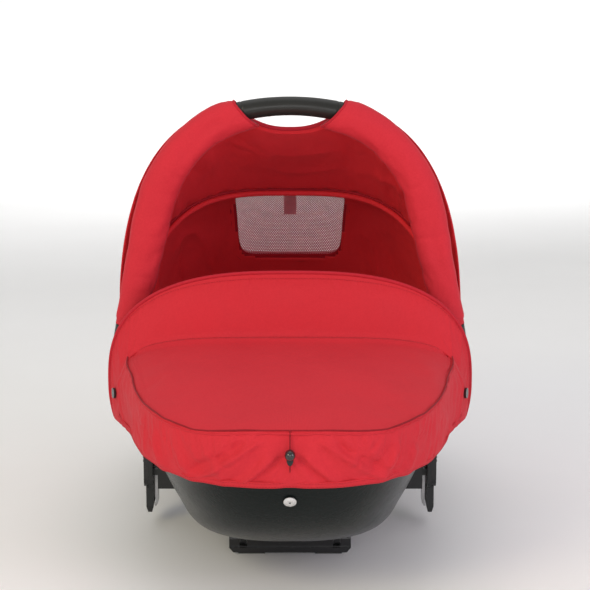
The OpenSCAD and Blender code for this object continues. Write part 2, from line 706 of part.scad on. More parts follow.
// Hooked blade behind the tongue, swinging about a pin at its top
module dock_latch(side) {
    color(steel) on_side(side) {
        translate([dock_in + 1, -11, 26]) cube([3.4, 22, latch_z - 26]);
        hull() {
            translate([dock_in + 1, -11, 26]) cube([3.4, 22, 2]);
            translate([dock_in + 3, -11, 22]) cube([2.4, 22, 2]);
        }
        translate([dock_in + 2.7, -11.5, latch_z]) rotate([-90, 0, 0]) cylinder(h = 23, r = 2.6, $fn = fine);
    }
}

module dock_release(side) {
    color(grey) on_side(side) {
        translate([171.2, -9, release_z - 10]) cube([dock_out - 171.2 + 1.6, 18, 20]);
        for (k = [-1, 0, 1]) translate([dock_out + 1.6, -7, release_z + 5 * k - 1]) cube([1, 14, 2]);
    }
}

// ---- Fold-out feet ----

foot_pin_z = 17;
foot_pin_r = 2.5;
ear_x = 56;
ear_t = 8;

module foot_bracket(place) {
    color(black) at_end(place) difference() {
        for (x = [-ear_x, ear_x]) translate([x - ear_t / 2, foot_y, foot_pin_z]) {
            rotate([0, 90, 0]) cylinder(h = ear_t, r = 7, $fn = fine);
            translate([0, -7, 0]) cube([ear_t, 14, 26]);
        }
        tub_solid(-0.15);
        translate([-100, foot_y, foot_pin_z]) rotate([0, 90, 0]) cylinder(h = 200, r = foot_pin_r + gap, $fn = fine);
    }
}

module foot_bar(place) {
    color(gloss_black) at_end(place) difference() {
        union() {
            translate([-foot_w / 2, foot_y, foot_pin_z]) rotate([0, 90, 0]) cylinder(h = foot_w, r = 6, $fn = fine);
            translate([-foot_w / 2, foot_y - 6, 8]) cube([foot_w, 12, foot_pin_z - 8]);
            translate([0, foot_y + 10, 0]) rotate([90, 0, 0]) linear_extrude(20)
                polygon([[-foot_w / 2, 8], [-foot_w / 2 + 5, 2], [foot_w / 2 - 5, 2], [foot_w / 2, 8]]);
        }
        translate([-100, foot_y, foot_pin_z]) rotate([0, 90, 0]) cylinder(h = 200, r = foot_pin_r + gap, $fn = fine);
        for (x = [-ear_x, ear_x]) translate([x - ear_t / 2 - 0.4, foot_y - 15, 8.6]) cube([ear_t + 0.8, 30, 30]);
    }
}

module foot_pin(place) {
    color(steel) at_end(place) translate([-foot_w / 2 + 1, foot_y, foot_pin_z]) rotate([0, 90, 0])
        cylinder(h = foot_w - 2, r = foot_pin_r, $fn = fine);
}

module foot_pads(place) {
    color(black) at_end(place) for (x = [-1, 1])
        translate([x * 46 - 16, foot_y - 8, 0]) cube([32, 16, 2]);
}

// ---- Assembly ----

shell();
rim_trim();
liner();
translate([0, 0, board_z]) base_board();
mattress();
vent_grommets();
end_rivets();
belly_pad(-1);  // belly_pad_left
belly_pad(1);  // belly_pad_right
crotch_strap();
buckle_body();
buckle_button();
hub_base(-1);  // hub_base_left
hub_base(1);  // hub_base_right
pivot_pin(-1);  // pivot_pin_left
pivot_pin(1);  // pivot_pin_right
handle_bar();
handle_grip();
handle_end(-1);  // handle_end_left
handle_end(1);  // handle_end_right
hub_cap(-1);  // hub_cap_left
hub_cap(1);  // hub_cap_right
lock_button(-1);  // lock_button_left
lock_button(1);  // lock_button_right
lock_spring(-1);  // lock_spring_left
lock_spring(1);  // lock_spring_right
sleeve(-1);  // sleeve_left
sleeve(1);  // sleeve_right
hood_bow();
hood_top();
hood_rear();
hood_window();
window_strap();
apron_top();
apron_skirt();
wind_flap();
flap_snaps();
apron_toggle();
dock_bracket(-1);  // dock_bracket_left
dock_bracket(1);  // dock_bracket_right
dock_tongue(-1);  // dock_tongue_left
dock_tongue(1);  // dock_tongue_right
dock_cover(-1);  // dock_cover_left
dock_cover(1);  // dock_cover_right
dock_latch(-1);  // dock_latch_left
dock_latch(1);  // dock_latch_right
dock_release(-1);  // dock_release_left
dock_release(1);  // dock_release_right
dock_screws();
foot_bracket(-1);  // foot_bracket_front
foot_bracket(1);  // foot_bracket_rear
foot_bar(-1);  // foot_bar_front
foot_bar(1);  // foot_bar_rear
foot_pin(-1);  // foot_pin_front
foot_pin(1);  // foot_pin_rear
foot_pads(-1);  // foot_pads_front
foot_pads(1);  // foot_pads_rear
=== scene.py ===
import json
import math

import bmesh
import bpy
import numpy as np
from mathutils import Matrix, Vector

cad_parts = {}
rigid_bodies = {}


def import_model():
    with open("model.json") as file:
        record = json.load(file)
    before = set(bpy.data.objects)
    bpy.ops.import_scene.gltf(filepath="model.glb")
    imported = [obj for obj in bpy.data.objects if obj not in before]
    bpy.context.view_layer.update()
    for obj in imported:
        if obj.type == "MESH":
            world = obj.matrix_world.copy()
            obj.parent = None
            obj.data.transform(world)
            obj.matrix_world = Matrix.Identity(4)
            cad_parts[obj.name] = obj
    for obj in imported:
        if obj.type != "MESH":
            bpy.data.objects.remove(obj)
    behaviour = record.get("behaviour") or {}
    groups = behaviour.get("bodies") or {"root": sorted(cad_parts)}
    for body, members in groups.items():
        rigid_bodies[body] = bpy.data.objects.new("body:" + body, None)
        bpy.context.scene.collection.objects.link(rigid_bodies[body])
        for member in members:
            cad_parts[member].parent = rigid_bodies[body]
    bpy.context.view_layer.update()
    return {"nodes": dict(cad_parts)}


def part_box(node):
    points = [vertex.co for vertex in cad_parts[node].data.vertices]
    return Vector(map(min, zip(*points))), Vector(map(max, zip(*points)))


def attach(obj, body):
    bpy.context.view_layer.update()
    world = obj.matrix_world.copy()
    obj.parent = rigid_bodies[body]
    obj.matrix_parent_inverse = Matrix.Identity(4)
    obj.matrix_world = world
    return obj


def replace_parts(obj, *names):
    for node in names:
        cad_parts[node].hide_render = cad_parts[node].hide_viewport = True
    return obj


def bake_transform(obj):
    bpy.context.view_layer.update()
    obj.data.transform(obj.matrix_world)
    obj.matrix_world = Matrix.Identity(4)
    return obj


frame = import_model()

MM = 0.001
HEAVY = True

# ---------------------------------------------------------------- sizes, in millimetres, from the CAD boxes
shell_lo, shell_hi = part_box("shell")
HALF_W = shell_hi.x * 1000
HALF_L = shell_hi.y * 1000
FLOOR_Z = shell_lo.z * 1000
RIM_Z = shell_hi.z * 1000
ROCKER = 1250.0
PLAN_POWER = 3.2
PIVOT_Z = 158.0
BAR_R = 10.5
BAR_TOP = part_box("handle_bar")[1].z * 1000 - BAR_R
HEAD_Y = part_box("hood_rear")[1].y * 1000
CREASE_Y = -78.0
# share of the half width that the tub has at each level angle, from its keel at 0 to its rim at 90
SIDE = np.array([[0, 0], [12, 0.43], [18, 0.56], [26, 0.65], [34, 0.70], [42, 0.735], [49, 0.78],
                 [60, 0.85], [74, 0.955], [90, 1]])


# ---------------------------------------------------------------- curves and surfaces of the seat
def spow(x, e):
    return np.sign(x) * np.abs(x) ** e


def sind(a):
    return np.sin(np.radians(a))


def cosd(a):
    return np.cos(np.radians(a))


def smooth(a, b, x):
    t = np.clip((x - a) / (b - a), 0, 1)
    return t * t * (3 - 2 * t)


def side_name(side):
    return "left" if side < 0 else "right"


def lengths_along(p):
    """Distance along a line of points, at each of them."""
    return np.concatenate([[0], np.cumsum(np.linalg.norm(np.diff(p, axis=0), axis=1))])


def plan(t, a, b, n=PLAN_POWER):
    y = b * spow(sind(t), 2 / n)
    x = a * spow(cosd(t), 2 / n)
    return x * (1 - 0.1 * np.maximum(0, -y / b) ** 2), y


def even_angles(n, a, b, power):
    """n angles that step evenly along the outline."""
    t = np.linspace(0, 360, 7201)
    x, y = plan(t, a, b, power)
    s = np.concatenate([[0], np.cumsum(np.hypot(np.diff(x), np.diff(y)))])
    return np.interp(np.arange(n) * s[-1] / n, s, t)


def tub_ring(n, phi, inset=0.0):
    """n points evenly round the tub's wall at one level angle, inset from its outside."""
    share = np.interp(phi, SIDE[:, 0], SIDE[:, 1])
    a, b = (HALF_W - inset) * share, (HALF_L - inset) * sind(phi) ** 0.25
    x, y = plan(even_angles(n, a, b, PLAN_POWER), a, b)
    keel = FLOOR_Z + inset + y * y / (2 * ROCKER)
    return np.stack([x, y, keel + (RIM_Z - keel) * (1 - cosd(phi))], -1)


# the bar: three arcs from its top down, with their radii and the headings between them, then a straight leg
ARC_R = [280.0, 150.0, 300.0]
HEAD = [0.0, 13.0, 72.0, 80.0]
ARC_C = [np.array([0.0, BAR_TOP - ARC_R[0]])]
ARC_C.append(ARC_C[0] + (ARC_R[0] - ARC_R[1]) * np.array([sind(HEAD[1]), cosd(HEAD[1])]))
ARC_C.append(ARC_C[1] + (ARC_R[1] - ARC_R[2]) * np.array([sind(HEAD[2]), cosd(HEAD[2])]))
LEG_TOP = ARC_C[2] + ARC_R[2] * np.array([sind(HEAD[3]), cosd(HEAD[3])])
LEG_END_Z = 232.0
LEG_L = (LEG_TOP[1] - LEG_END_Z) / sind(HEAD[3])


def bar_point(s):
    """Point and heading of the bar's centreline, s millimetres from its top."""
    for i in range(3):
        length = math.radians(HEAD[i + 1] - HEAD[i]) * ARC_R[i]
        if s <= length:
            h = HEAD[i] + math.degrees(s / ARC_R[i])
            return ARC_C[i] + ARC_R[i] * np.array([sind(h), cosd(h)]), h
        s -= length
    return LEG_TOP + s * np.array([cosd(HEAD[3]), -sind(HEAD[3])]), HEAD[3]


ARCS_L = sum(math.radians(HEAD[i + 1] - HEAD[i]) * ARC_R[i] for i in range(3))
BAR_L = ARCS_L + LEG_L


def bar_line(lengths):
    """The bar's centreline at lengths from its top, negative ones to the left."""
    points = [bar_point(abs(q))[0] for q in lengths]
    return [(math.copysign(1, q) * p[0], 0, p[1]) for q, p in zip(lengths, points)]


def front_edge(t):
    """The hood's front edge, with the dip that leaves the grip free."""
    x = 213 * spow(cosd(t), 2 / 2.8)
    z = 215 + (BAR_TOP + 4 - 215) * np.abs(sind(t)) ** (2 / 2.8)
    dip = np.where(np.abs(x) < 76, (1 - np.minimum(1, np.abs(x) / 76) ** 2.5) ** 1.3, 0)
    return np.stack([x, 21 + 17 * dip, z - 36 * dip], -1)


def bow_arch(t, w, top):
    return w * spow(cosd(t), 0.6), 60 + (top - 60) * np.abs(sind(t)) ** 0.8


def bow_line(t, w=203.0, top=329.0):
    x, r = bow_arch(t, w, top)
    return np.stack([x, r * sind(45.0), PIVOT_Z + r * cosd(45.0)], -1)


def rim_line(t):
    x = 197 * spow(cosd(t), 2 / 3.2)
    y = 48 + (HEAD_Y - 48) * np.abs(sind(t)) ** (2 / 3.2)
    return np.stack([x, y, np.full_like(x, 176.0)], -1)


def hood_point(u, v):
    u, v = np.broadcast_arrays(np.asarray(u, float), np.asarray(v, float))
    t = 90 + 90 * spow(u, 1.4)
    a, b, c = front_edge(t), bow_line(t), rim_line(t)
    w = np.clip(2 * v, 0, 1)[..., None]
    lift = np.array([0, 5.0, 8.0]) * sind(t)[..., None]
    front = a + w * (b - a) + 4 * w * (1 - w) * lift
    w = np.clip(2 * v - 1, 0, 1)
    h = (0.25 * w + 0.75 * sind(90 * w))[..., None]
    d = 0.25 * w + 0.75 * (1 - cosd(90 * w))
    rear = b + h * (c - b)
    rear[..., 2] = b[..., 2] + d * (c[..., 2] - b[..., 2])
    return np.where(v[..., None] < 0.5, front, rear)


def even_u(n, a=-1.0, b=1.0):
    """n+1 hood columns that step evenly along the front edge."""
    u = np.linspace(a, b, 4001)
    p = hood_point(u, 0.25)
    s = lengths_along(p)
    return np.interp(np.linspace(0, s[-1], n + 1), s, u)


def foot_outline(k, a, b, n, taper):
    s = np.abs(cosd(90 * k)) ** (2 / n)
    return a * spow(sind(90 * k), 2 / n) * (1 - taper * s**1.5), CREASE_Y - (b + CREASE_Y) * s


def seam(k):
    b = HALF_L + 6.5
    x, y = foot_outline(k, 190, b, 3.8, 0.17)
    return np.stack([x, y, 220 + 10 * np.maximum(0, (y + b) / (b + CREASE_Y)) ** 1.2], -1)


def hem(k):
    x, y = foot_outline(k, 190, HALF_L - 1, 3, 0.16)
    return np.stack([x, y, 155 + 2 * np.abs(k)], -1)


def bulge(k):
    x, y = foot_outline(k, 194, HALF_L + 8, 3.4, 0.16)
    return np.stack([x, y, 0.55 * seam(k)[..., 2] + 0.45 * hem(k)[..., 2]], -1)


def skirt(k, w):
    k, w = np.broadcast_arrays(np.asarray(k, float), np.asarray(w, float))
    w3 = w[..., None]
    return (1 - w3) * (1 - 2 * w3) * seam(k) + 4 * w3 * (1 - w3) * bulge(k) + w3 * (2 * w3 - 1) * hem(k)


def even_k(n, line=seam):
    k = np.linspace(-1, 1, 8001)
    p = line(k)
    s = lengths_along(p)
    return np.interp(np.linspace(0, s[-1], n + 1), s, k)


def flap_ends(t):
    low = np.maximum(0, -t) + np.maximum(0, t - 180)
    s = np.maximum(sind(t), 0)
    side = np.where(t < 90, 1.0, -1.0)
    c = np.where(low > 0, 1, np.abs(cosd(t)))
    return low, s, side, c


def flap_free(t):
    low, s, side, c = flap_ends(t)
    return np.stack([(221 - 0.01 * low * low) * side * c ** (2 / 2.7), -42 - 18 * s,
                     187 + 142 * s ** (2 / 2.7) - 1.7 * low], -1)


def flap_crease(t):
    low, s, side, c = flap_ends(t)
    return np.stack([202 * side * c**0.5, CREASE_Y - 26 * (1 - s) ** 3, 187 + 65 * s**0.5 - 1.5 * low], -1)


def flap(t, w):
    t, w = np.broadcast_arrays(np.asarray(t, float), np.asarray(w, float))
    return (1 - w[..., None]) * flap_crease(t) + w[..., None] * flap_free(t)


# ---------------------------------------------------------------- noise for folds
def hash_grid(seed, n=64):
    return np.random.default_rng(seed).uniform(-1, 1, (n, n))


def noise2(x, y, seed):
    """Smooth value noise from -1 to 1, one bump per unit."""
    g = hash_grid(seed)
    n = g.shape[0]
    x, y = np.broadcast_arrays(np.asarray(x, float), np.asarray(y, float))
    xi, yi = np.floor(x).astype(int), np.floor(y).astype(int)
    fx, fy = x - xi, y - yi
    fx, fy = fx * fx * fx * (fx * (6 * fx - 15) + 10), fy * fy * fy * (fy * (6 * fy - 15) + 10)
    a, b = g[yi % n, xi % n], g[yi % n, (xi + 1) % n]
    c, d = g[(yi + 1) % n, xi % n], g[(yi + 1) % n, (xi + 1) % n]
    return (a * (1 - fx) + b * fx) * (1 - fy) + (c * (1 - fx) + d * fx) * fy


def fractal(x, y, seed, octaves=3):
    return sum(noise2(x * 2**o, y * 2**o, seed + o) * 0.5**o for o in range(octaves))


def ridge(x, y, seed):
    """Creases: sharp along their bottoms, from 0 to 1."""
    return (1 - np.abs(noise2(x, y, seed))) ** 3


# ---------------------------------------------------------------- mesh making
def new_object(name, verts, faces, uvs=None, mats=()):
    me = bpy.data.meshes.new(name)
    me.from_pydata([tuple(v) for v in np.asarray(verts) * MM], [], faces)
    for m in mats:
        me.materials.append(m)
    if uvs is not None:
        layer = me.uv_layers.new(name="UVMap")
        loops = np.zeros(len(me.loops), np.int32)
        me.loops.foreach_get("vertex_index", loops)
        layer.data.foreach_set("uv", (np.asarray(uvs) * MM)[loops].ravel())
    me.validate()
    me.polygons.foreach_set("use_smooth", [True] * len(me.polygons))
    me.update()
    o = bpy.data.objects.new(name, me)
    bpy.context.scene.collection.objects.link(o)
    return o


def grid_uv(p):
    """Arc length along rows and columns, in millimetres."""
    r, c = p.shape[:2]
    du = np.linalg.norm(np.diff(p, axis=1), axis=2).mean(0)
    dv = np.linalg.norm(np.diff(p, axis=0), axis=2).mean(1)
    uu = np.concatenate([[0], np.cumsum(du)])
    vv = np.concatenate([[0], np.cumsum(dv)])
    a, b = np.meshgrid(uu - uu.mean(), vv)
    return np.stack([a, b], -1).reshape(r * c, 2)


def grid_faces(r, c, wrap=False, keep=None):
    out = []
    for i in range(r - 1):
        for j in range(c if wrap else c - 1):
            if keep is not None and not keep[i, j]:
                continue
            k = (j + 1) % c
            out.append((i * c + j, i * c + k, (i + 1) * c + k, (i + 1) * c + j))
    return out


def sheet_object(name, p, mats, keep=None, wrap=False, flip=False):
    r, c = p.shape[:2]
    faces = grid_faces(r, c, wrap, keep)
    if flip:
        faces = [f[::-1] for f in faces]
    o = new_object(name, p.reshape(-1, 3), faces, grid_uv(p), mats)
    if keep is not None:
        bm = bmesh.new()
        bm.from_mesh(o.data)
        bmesh.ops.delete(bm, geom=[v for v in bm.verts if not v.link_faces], context="VERTS")
        bm.to_mesh(o.data)
        bm.free()
    return o


def loft(name, rings, mats, caps=True, closed=False):
    """Closed rings joined along the first axis."""
    r, c = rings.shape[:2]
    faces = grid_faces(r, c, True)
    if closed:
        faces += [((r - 1) * c + j, (r - 1) * c + (j + 1) % c, (j + 1) % c, j) for j in range(c)]
    elif caps:
        faces.append(tuple(range(c))[::-1])
        faces.append(tuple((r - 1) * c + j for j in range(c)))
    return new_object(name, rings.reshape(-1, 3), faces, grid_uv(rings), mats)


def path_frames(pts):
    pts = np.asarray(pts, float)
    d = np.gradient(pts, axis=0)
    d /= np.linalg.norm(d, axis=1)[:, None]
    n = np.zeros_like(d)
    up = np.array([0.0, 0.0, 1.0]) if abs(d[0][2]) < 0.9 else np.array([0.0, 1.0, 0.0])
    n[0] = np.cross(d[0], up)
    n[0] /= np.linalg.norm(n[0])
    for i in range(1, len(d)):
        v = n[i - 1] - d[i] * (n[i - 1] @ d[i])
        n[i] = v / np.linalg.norm(v)
    return d, n, np.cross(d, n)


def tube(name, pts, radius, mats, sides=12, taper=None):
    pts = np.asarray(pts, float)
    _, n, b = path_frames(pts)
    a = np.arange(sides) * 2 * np.pi / sides
    rad = np.full(len(pts), float(radius)) * (1 if taper is None else taper)
    rings = (pts[:, None] + rad[:, None, None] * (np.cos(a)[None, :, None] * n[:, None]
             + np.sin(a)[None, :, None] * b[:, None]))
    return loft(name, rings, mats)


def ribbon(name, pts, side, width, thick, mats):
    """A flat strap along pts, wide along side."""
    pts = np.asarray(pts, float)
    side = np.broadcast_to(np.asarray(side, float), pts.shape)
    n = np.cross(np.gradient(pts, axis=0), side)
    n /= np.linalg.norm(n, axis=1)[:, None]
    prof = [(-0.5, 0), (-0.485, -0.5), (0.485, -0.5), (0.5, 0), (0.485, 0.5), (-0.485, 0.5)]
    rings = np.stack([pts + side * width * a + n * thick * b for a, b in prof], 1)
    return loft(name, rings, mats)


def stitches(name, pts, normals, mats, pitch=3.2, length=2.2, r=0.32):
    """A row of short thread bars lying along pts."""
    pts = np.asarray(pts, float)
    s = lengths_along(pts)
    n = int(s[-1] / pitch)
    at = (np.arange(n) + 0.5) * s[-1] / n
    verts, faces = [], []

    def along(where, values):
        return np.stack([np.interp(where, s, values[:, k]) for k in range(3)], -1)

    for c, a, b, m in zip(along(at, pts), along(at + 0.5, pts), along(at - 0.5, pts), along(at, normals)):
        d = (a - b) / (np.linalg.norm(a - b) + 1e-9)
        m = m / np.linalg.norm(m)
        w = np.cross(d, m)
        base = len(verts)
        for f, q in ((-0.5, 0.15), (-0.3, 1.0), (0.3, 1.0), (0.5, 0.15)):
            for ang in (0, 90, 180, 270):
                verts.append(c + d * length * f + r * q * (w * cosd(ang) + m * sind(ang)) + m * r * 0.3)
        for i in range(3):
            for j in range(4):
                low, turned = base + 4 * i, (j + 1) % 4
                faces.append((low + j, low + turned, low + 4 + turned, low + 4 + j))
        faces.append((base, base + 3, base + 2, base + 1))
        faces.append((base + 12, base + 13, base + 14, base + 15))
    return new_object(name, verts, faces, None, mats)


def displace(p, amount):
    """Moves a grid of points along its normals."""
    du = np.gradient(p, axis=1)
    dv = np.gradient(p, axis=0)
    n = np.cross(du, dv)
    n /= np.linalg.norm(n, axis=2)[..., None] + 1e-9
    return p + n * amount[..., None]


def solidify(o, thick, offset=-1.0, inner=0):
    """Gives a sheet its thickness; inner is how many material slots on its far side lies."""
    m = o.modifiers.new("thickness", "SOLIDIFY")
    m.thickness = thick * MM
    m.offset = offset
    m.material_offset = inner
    m.material_offset_rim = 0
    m.use_even_offset = False


def apply_modifiers(o):
    """Keeps the modifiers' result as the mesh."""
    deps = bpy.context.evaluated_depsgraph_get()
    me = bpy.data.meshes.new_from_object(o.evaluated_get(deps), depsgraph=deps)
    old = o.data
    o.modifiers.clear()
    o.data = me
    bpy.data.meshes.remove(old)


def pin_group(o, weights):
    g = o.vertex_groups.new(name="pins")
    for i, w in enumerate(weights):
        if w > 0:
            g.add([i], float(w), "REPLACE")


def cloth(o, frames, pins, pressure=0.0, gravity=1.0, slack=0.0, cap=10.0, stiff=15.0, bend=0.5):
    """Runs Blender's cloth on a mesh and keeps its result, moved at most cap millimetres."""
    if not HEAVY:
        return
    rest = np.zeros(len(o.data.vertices) * 3)
    o.data.vertices.foreach_get("co", rest)
    pin_group(o, pins)
    m = o.modifiers.new("cloth", "CLOTH")
    s = m.settings
    s.quality = 6
    s.mass = 0.3
    s.tension_stiffness = s.compression_stiffness = s.shear_stiffness = stiff
    s.bending_stiffness = bend
    s.effector_weights.gravity = gravity
    s.shrink_min = -slack
    s.air_damping = 2.0
    s.vertex_group_mass = "pins"
    if pressure:
        s.use_pressure = True
        s.uniform_pressure_force = pressure
    m.collision_settings.use_collision = False
    scene = bpy.context.scene
    for f in range(1, frames + 1):
        scene.frame_set(f)
    deps = bpy.context.evaluated_depsgraph_get()
    ev = o.evaluated_get(deps).data
    now = np.zeros(len(rest))
    ev.vertices.foreach_get("co", now)
    move = (now - rest).reshape(-1, 3)
    far = np.linalg.norm(move, axis=1)[:, None] + 1e-12
    move *= np.minimum(1, cap * MM / far)
    o.modifiers.remove(m)
    o.vertex_groups.clear()
    o.data.vertices.foreach_set("co", (rest.reshape(-1, 3) + move).ravel())
    o.data.update()
    scene.frame_set(1)


# ---------------------------------------------------------------- materials
def material(name):
    m = bpy.data.materials.new(name)
    m.use_nodes = True
    nt = m.node_tree
    bsdf = next(n for n in nt.nodes if n.type == "BSDF_PRINCIPLED")
    return m, nt, bsdf


def add(nt, kind, **values):
    n = nt.nodes.new(kind)
    for k, v in values.items():
        if k in n.inputs:
            n.inputs[k].default_value = v
        else:
            setattr(n, k, v)
    return n


def ramp(nt, source, stops):
    r = nt.nodes.new("ShaderNodeValToRGB")
    el = r.color_ramp.elements
    while len(el) < len(stops):
        el.new(0.5)
    for e, (pos, col) in zip(el, stops):
        e.position = pos
        e.color = col if len(col) == 4 else (*col, 1)
    nt.links.new(source, r.inputs["Fac"])
    return r


def mapped(nt, kind="UV", scale=(1, 1, 1), rotation=(0, 0, 0)):
    tc = nt.nodes.new("ShaderNodeTexCoord")
    mp = nt.nodes.new("ShaderNodeMapping")
    mp.inputs["Scale"].default_value = scale
    mp.inputs["Rotation"].default_value = rotation
    nt.links.new(tc.outputs[kind], mp.inputs["Vector"])
    return mp.outputs["Vector"]


def math_node(nt, op, a, b=0.0):
    n = nt.nodes.new("ShaderNodeMath")
    n.operation = op
    for i, v in enumerate((a, b)):
        if isinstance(v, (int, float)):
            n.inputs[i].default_value = v
        else:
            nt.links.new(v, n.inputs[i])
    return n.outputs[0]


def weighted(nt, *terms):
    """The sum of each source times its share."""
    total = None
    for source, share in terms:
        part = math_node(nt, "MULTIPLY", source, share)
        total = part if total is None else math_node(nt, "ADD", total, part)
    return total


def noise(nt, stretch=(1, 1, 1), turn=(0, 0, 0), **values):
    n = add(nt, "ShaderNodeTexNoise", **values)
    nt.links.new(mapped(nt, "Object", stretch, turn), n.inputs["Vector"])
    return n.outputs["Fac"]


def blend_into(nt, socket, source, low, high, at=(0.3, 0.7)):
    """Ramps source between two colours, or two greys given as numbers, into a socket."""
    low, high = [(v,) * 3 if isinstance(v, (int, float)) else v for v in (low, high)]
    nt.links.new(ramp(nt, source, [(at[0], low), (at[1], high)]).outputs["Color"], socket)


def finish_surface(bsdf, **values):
    """Plain values for the shader's sockets; _ stands for a space in a socket's name."""
    for key, value in values.items():
        bsdf.inputs[key.replace("_", " ")].default_value = value


def bump(nt, height, strength, distance, normal=None):
    b = nt.nodes.new("ShaderNodeBump")
    b.inputs["Strength"].default_value = strength
    b.inputs["Distance"].default_value = distance
    nt.links.new(height, b.inputs["Height"])
    if normal is not None:
        nt.links.new(normal, b.inputs["Normal"])
    return b.outputs["Normal"]


def fabric(name, dark, light, weave=0.0011, coords="UV", rough=0.8, sheen=0.1, tint=(1, 0.35, 0.42),
           puff=0.0):
    """Plain woven cloth: crossing yarns, slubs, soft colour clouds and faint rubbed patches."""
    m, nt, bsdf = material(name)
    vec = mapped(nt, coords)
    yarn = []
    for axis in ("X", "Y"):
        w = add(nt, "ShaderNodeTexWave", wave_type="BANDS", bands_direction=axis,
                Scale=math.pi / (10 * weave), Distortion=0.4, Detail=1.0)
        w.inputs["Detail Scale"].default_value = 2.0
        nt.links.new(vec, w.inputs["Vector"])
        yarn.append(w.outputs["Fac"])
    cross = math_node(nt, "MULTIPLY", yarn[0], yarn[1])
    slub = noise(nt, Scale=420.0, Detail=4.0, Roughness=0.7)
    cloud = noise(nt, Scale=14.0, Detail=5.0, Roughness=0.6)
    crumple = noise(nt, (1, 1, 0.6), Scale=34.0, Detail=3.0, Roughness=0.5, Distortion=0.6)
    tone = weighted(nt, (cross, 0.35), (slub, 0.4), (cloud, 0.35))
    blend_into(nt, bsdf.inputs["Base Color"], tone, dark, light, (0.25, 0.75))
    blend_into(nt, bsdf.inputs["Roughness"], cloud, rough - 0.08, min(1, rough + 0.06))
    fine = bump(nt, slub, 0.25, 0.0004, bump(nt, cross, 0.3, 0.0002))
    nt.links.new(bump(nt, crumple, 0.45, 0.0016 + puff, fine), bsdf.inputs["Normal"])
    finish_surface(bsdf, Sheen_Weight=sheen, Sheen_Roughness=0.4, Sheen_Tint=(*tint, 1),
                   Specular_IOR_Level=0.25)
    return m


def plastic(name, dark, light, rough=0.45, grain=900.0, depth=0.00012, spec=0.5, coat=0.0):
    """Moulded plastic: spark-eroded grain, flow clouds, dulled and brightened patches and rubbed edges."""
    m, nt, bsdf = material(name)
    cloud = noise(nt, Scale=9.0, Detail=6.0, Roughness=0.62)
    dust = noise(nt, Scale=160.0, Detail=5.0, Roughness=0.7)
    scratch = noise(nt, (1, 6, 1), (0.3, 0.2, 0.5), Scale=60.0, Detail=6.0, Roughness=0.75, Distortion=1.5)
    pits = add(nt, "ShaderNodeTexVoronoi", Scale=grain)
    nt.links.new(mapped(nt, "Object"), pits.inputs["Vector"])
    edge = add(nt, "ShaderNodeNewGeometry")
    wear = ramp(nt, edge.outputs["Pointiness"], [(0.5, (0, 0, 0)), (0.58, (1, 1, 1))])
    mix = nt.nodes.new("ShaderNodeMix")
    mix.data_type = "RGBA"
    nt.links.new(math_node(nt, "MULTIPLY", wear.outputs["Color"], 0.06), mix.inputs["Factor"])
    blend_into(nt, mix.inputs[6], weighted(nt, (cloud, 0.6), (dust, 0.4)), dark, light)
    mix.inputs[7].default_value = (0.25, 0.25, 0.25, 1)
    nt.links.new(mix.outputs[2], bsdf.inputs["Base Color"])
    blend_into(nt, bsdf.inputs["Roughness"], scratch, rough - 0.05, min(1, rough + 0.1), (0.3, 0.72))
    grainy = bump(nt, pits.outputs["Distance"], 0.3, depth, bump(nt, dust, 0.12, 0.0003))
    nt.links.new(grainy, bsdf.inputs["Normal"])
    finish_surface(bsdf, Specular_IOR_Level=spec, Coat_Weight=coat, Coat_Roughness=0.12)
    return m


def metal(name, col, rough=0.3, stretch=(1, 1, 14)):
    """Drawn or brushed metal with faint spots."""
    m, nt, bsdf = material(name)
    brush = noise(nt, stretch, Scale=220.0, Detail=6.0, Roughness=0.7)
    spots = noise(nt, Scale=35.0, Detail=5.0)
    blend_into(nt, bsdf.inputs["Base Color"], spots, tuple(x * 0.8 for x in col), col)
    blend_into(nt, bsdf.inputs["Roughness"], brush, rough - 0.08, rough + 0.12)
    nt.links.new(bump(nt, brush, 0.15, 0.0002), bsdf.inputs["Normal"])
    finish_surface(bsdf, Metallic=1.0)
    return m


def webbing(name, dark, light, rib=0.0016):
    """Woven strap: ribs across it and a diagonal twill."""
    m, nt, bsdf = material(name)
    vec = mapped(nt, "UV")
    waves = []
    for way, scale, distortion, detail in (("X", 10, 0.5, 1.0), ("DIAGONAL", 12, 1.0, 2.0)):
        w = add(nt, "ShaderNodeTexWave", wave_type="BANDS", bands_direction=way,
                Scale=math.pi / (scale * rib), Distortion=distortion, Detail=detail)
        nt.links.new(vec, w.inputs["Vector"])
        waves.append(w.outputs["Fac"])
    height = weighted(nt, (waves[0], 0.6), (waves[1], 0.4))
    blend_into(nt, bsdf.inputs["Base Color"], height, dark, light, (0.2, 0.8))
    nt.links.new(bump(nt, height, 0.6, 0.0004), bsdf.inputs["Normal"])
    finish_surface(bsdf, Roughness=0.8, Sheen_Weight=0.2)
    return m


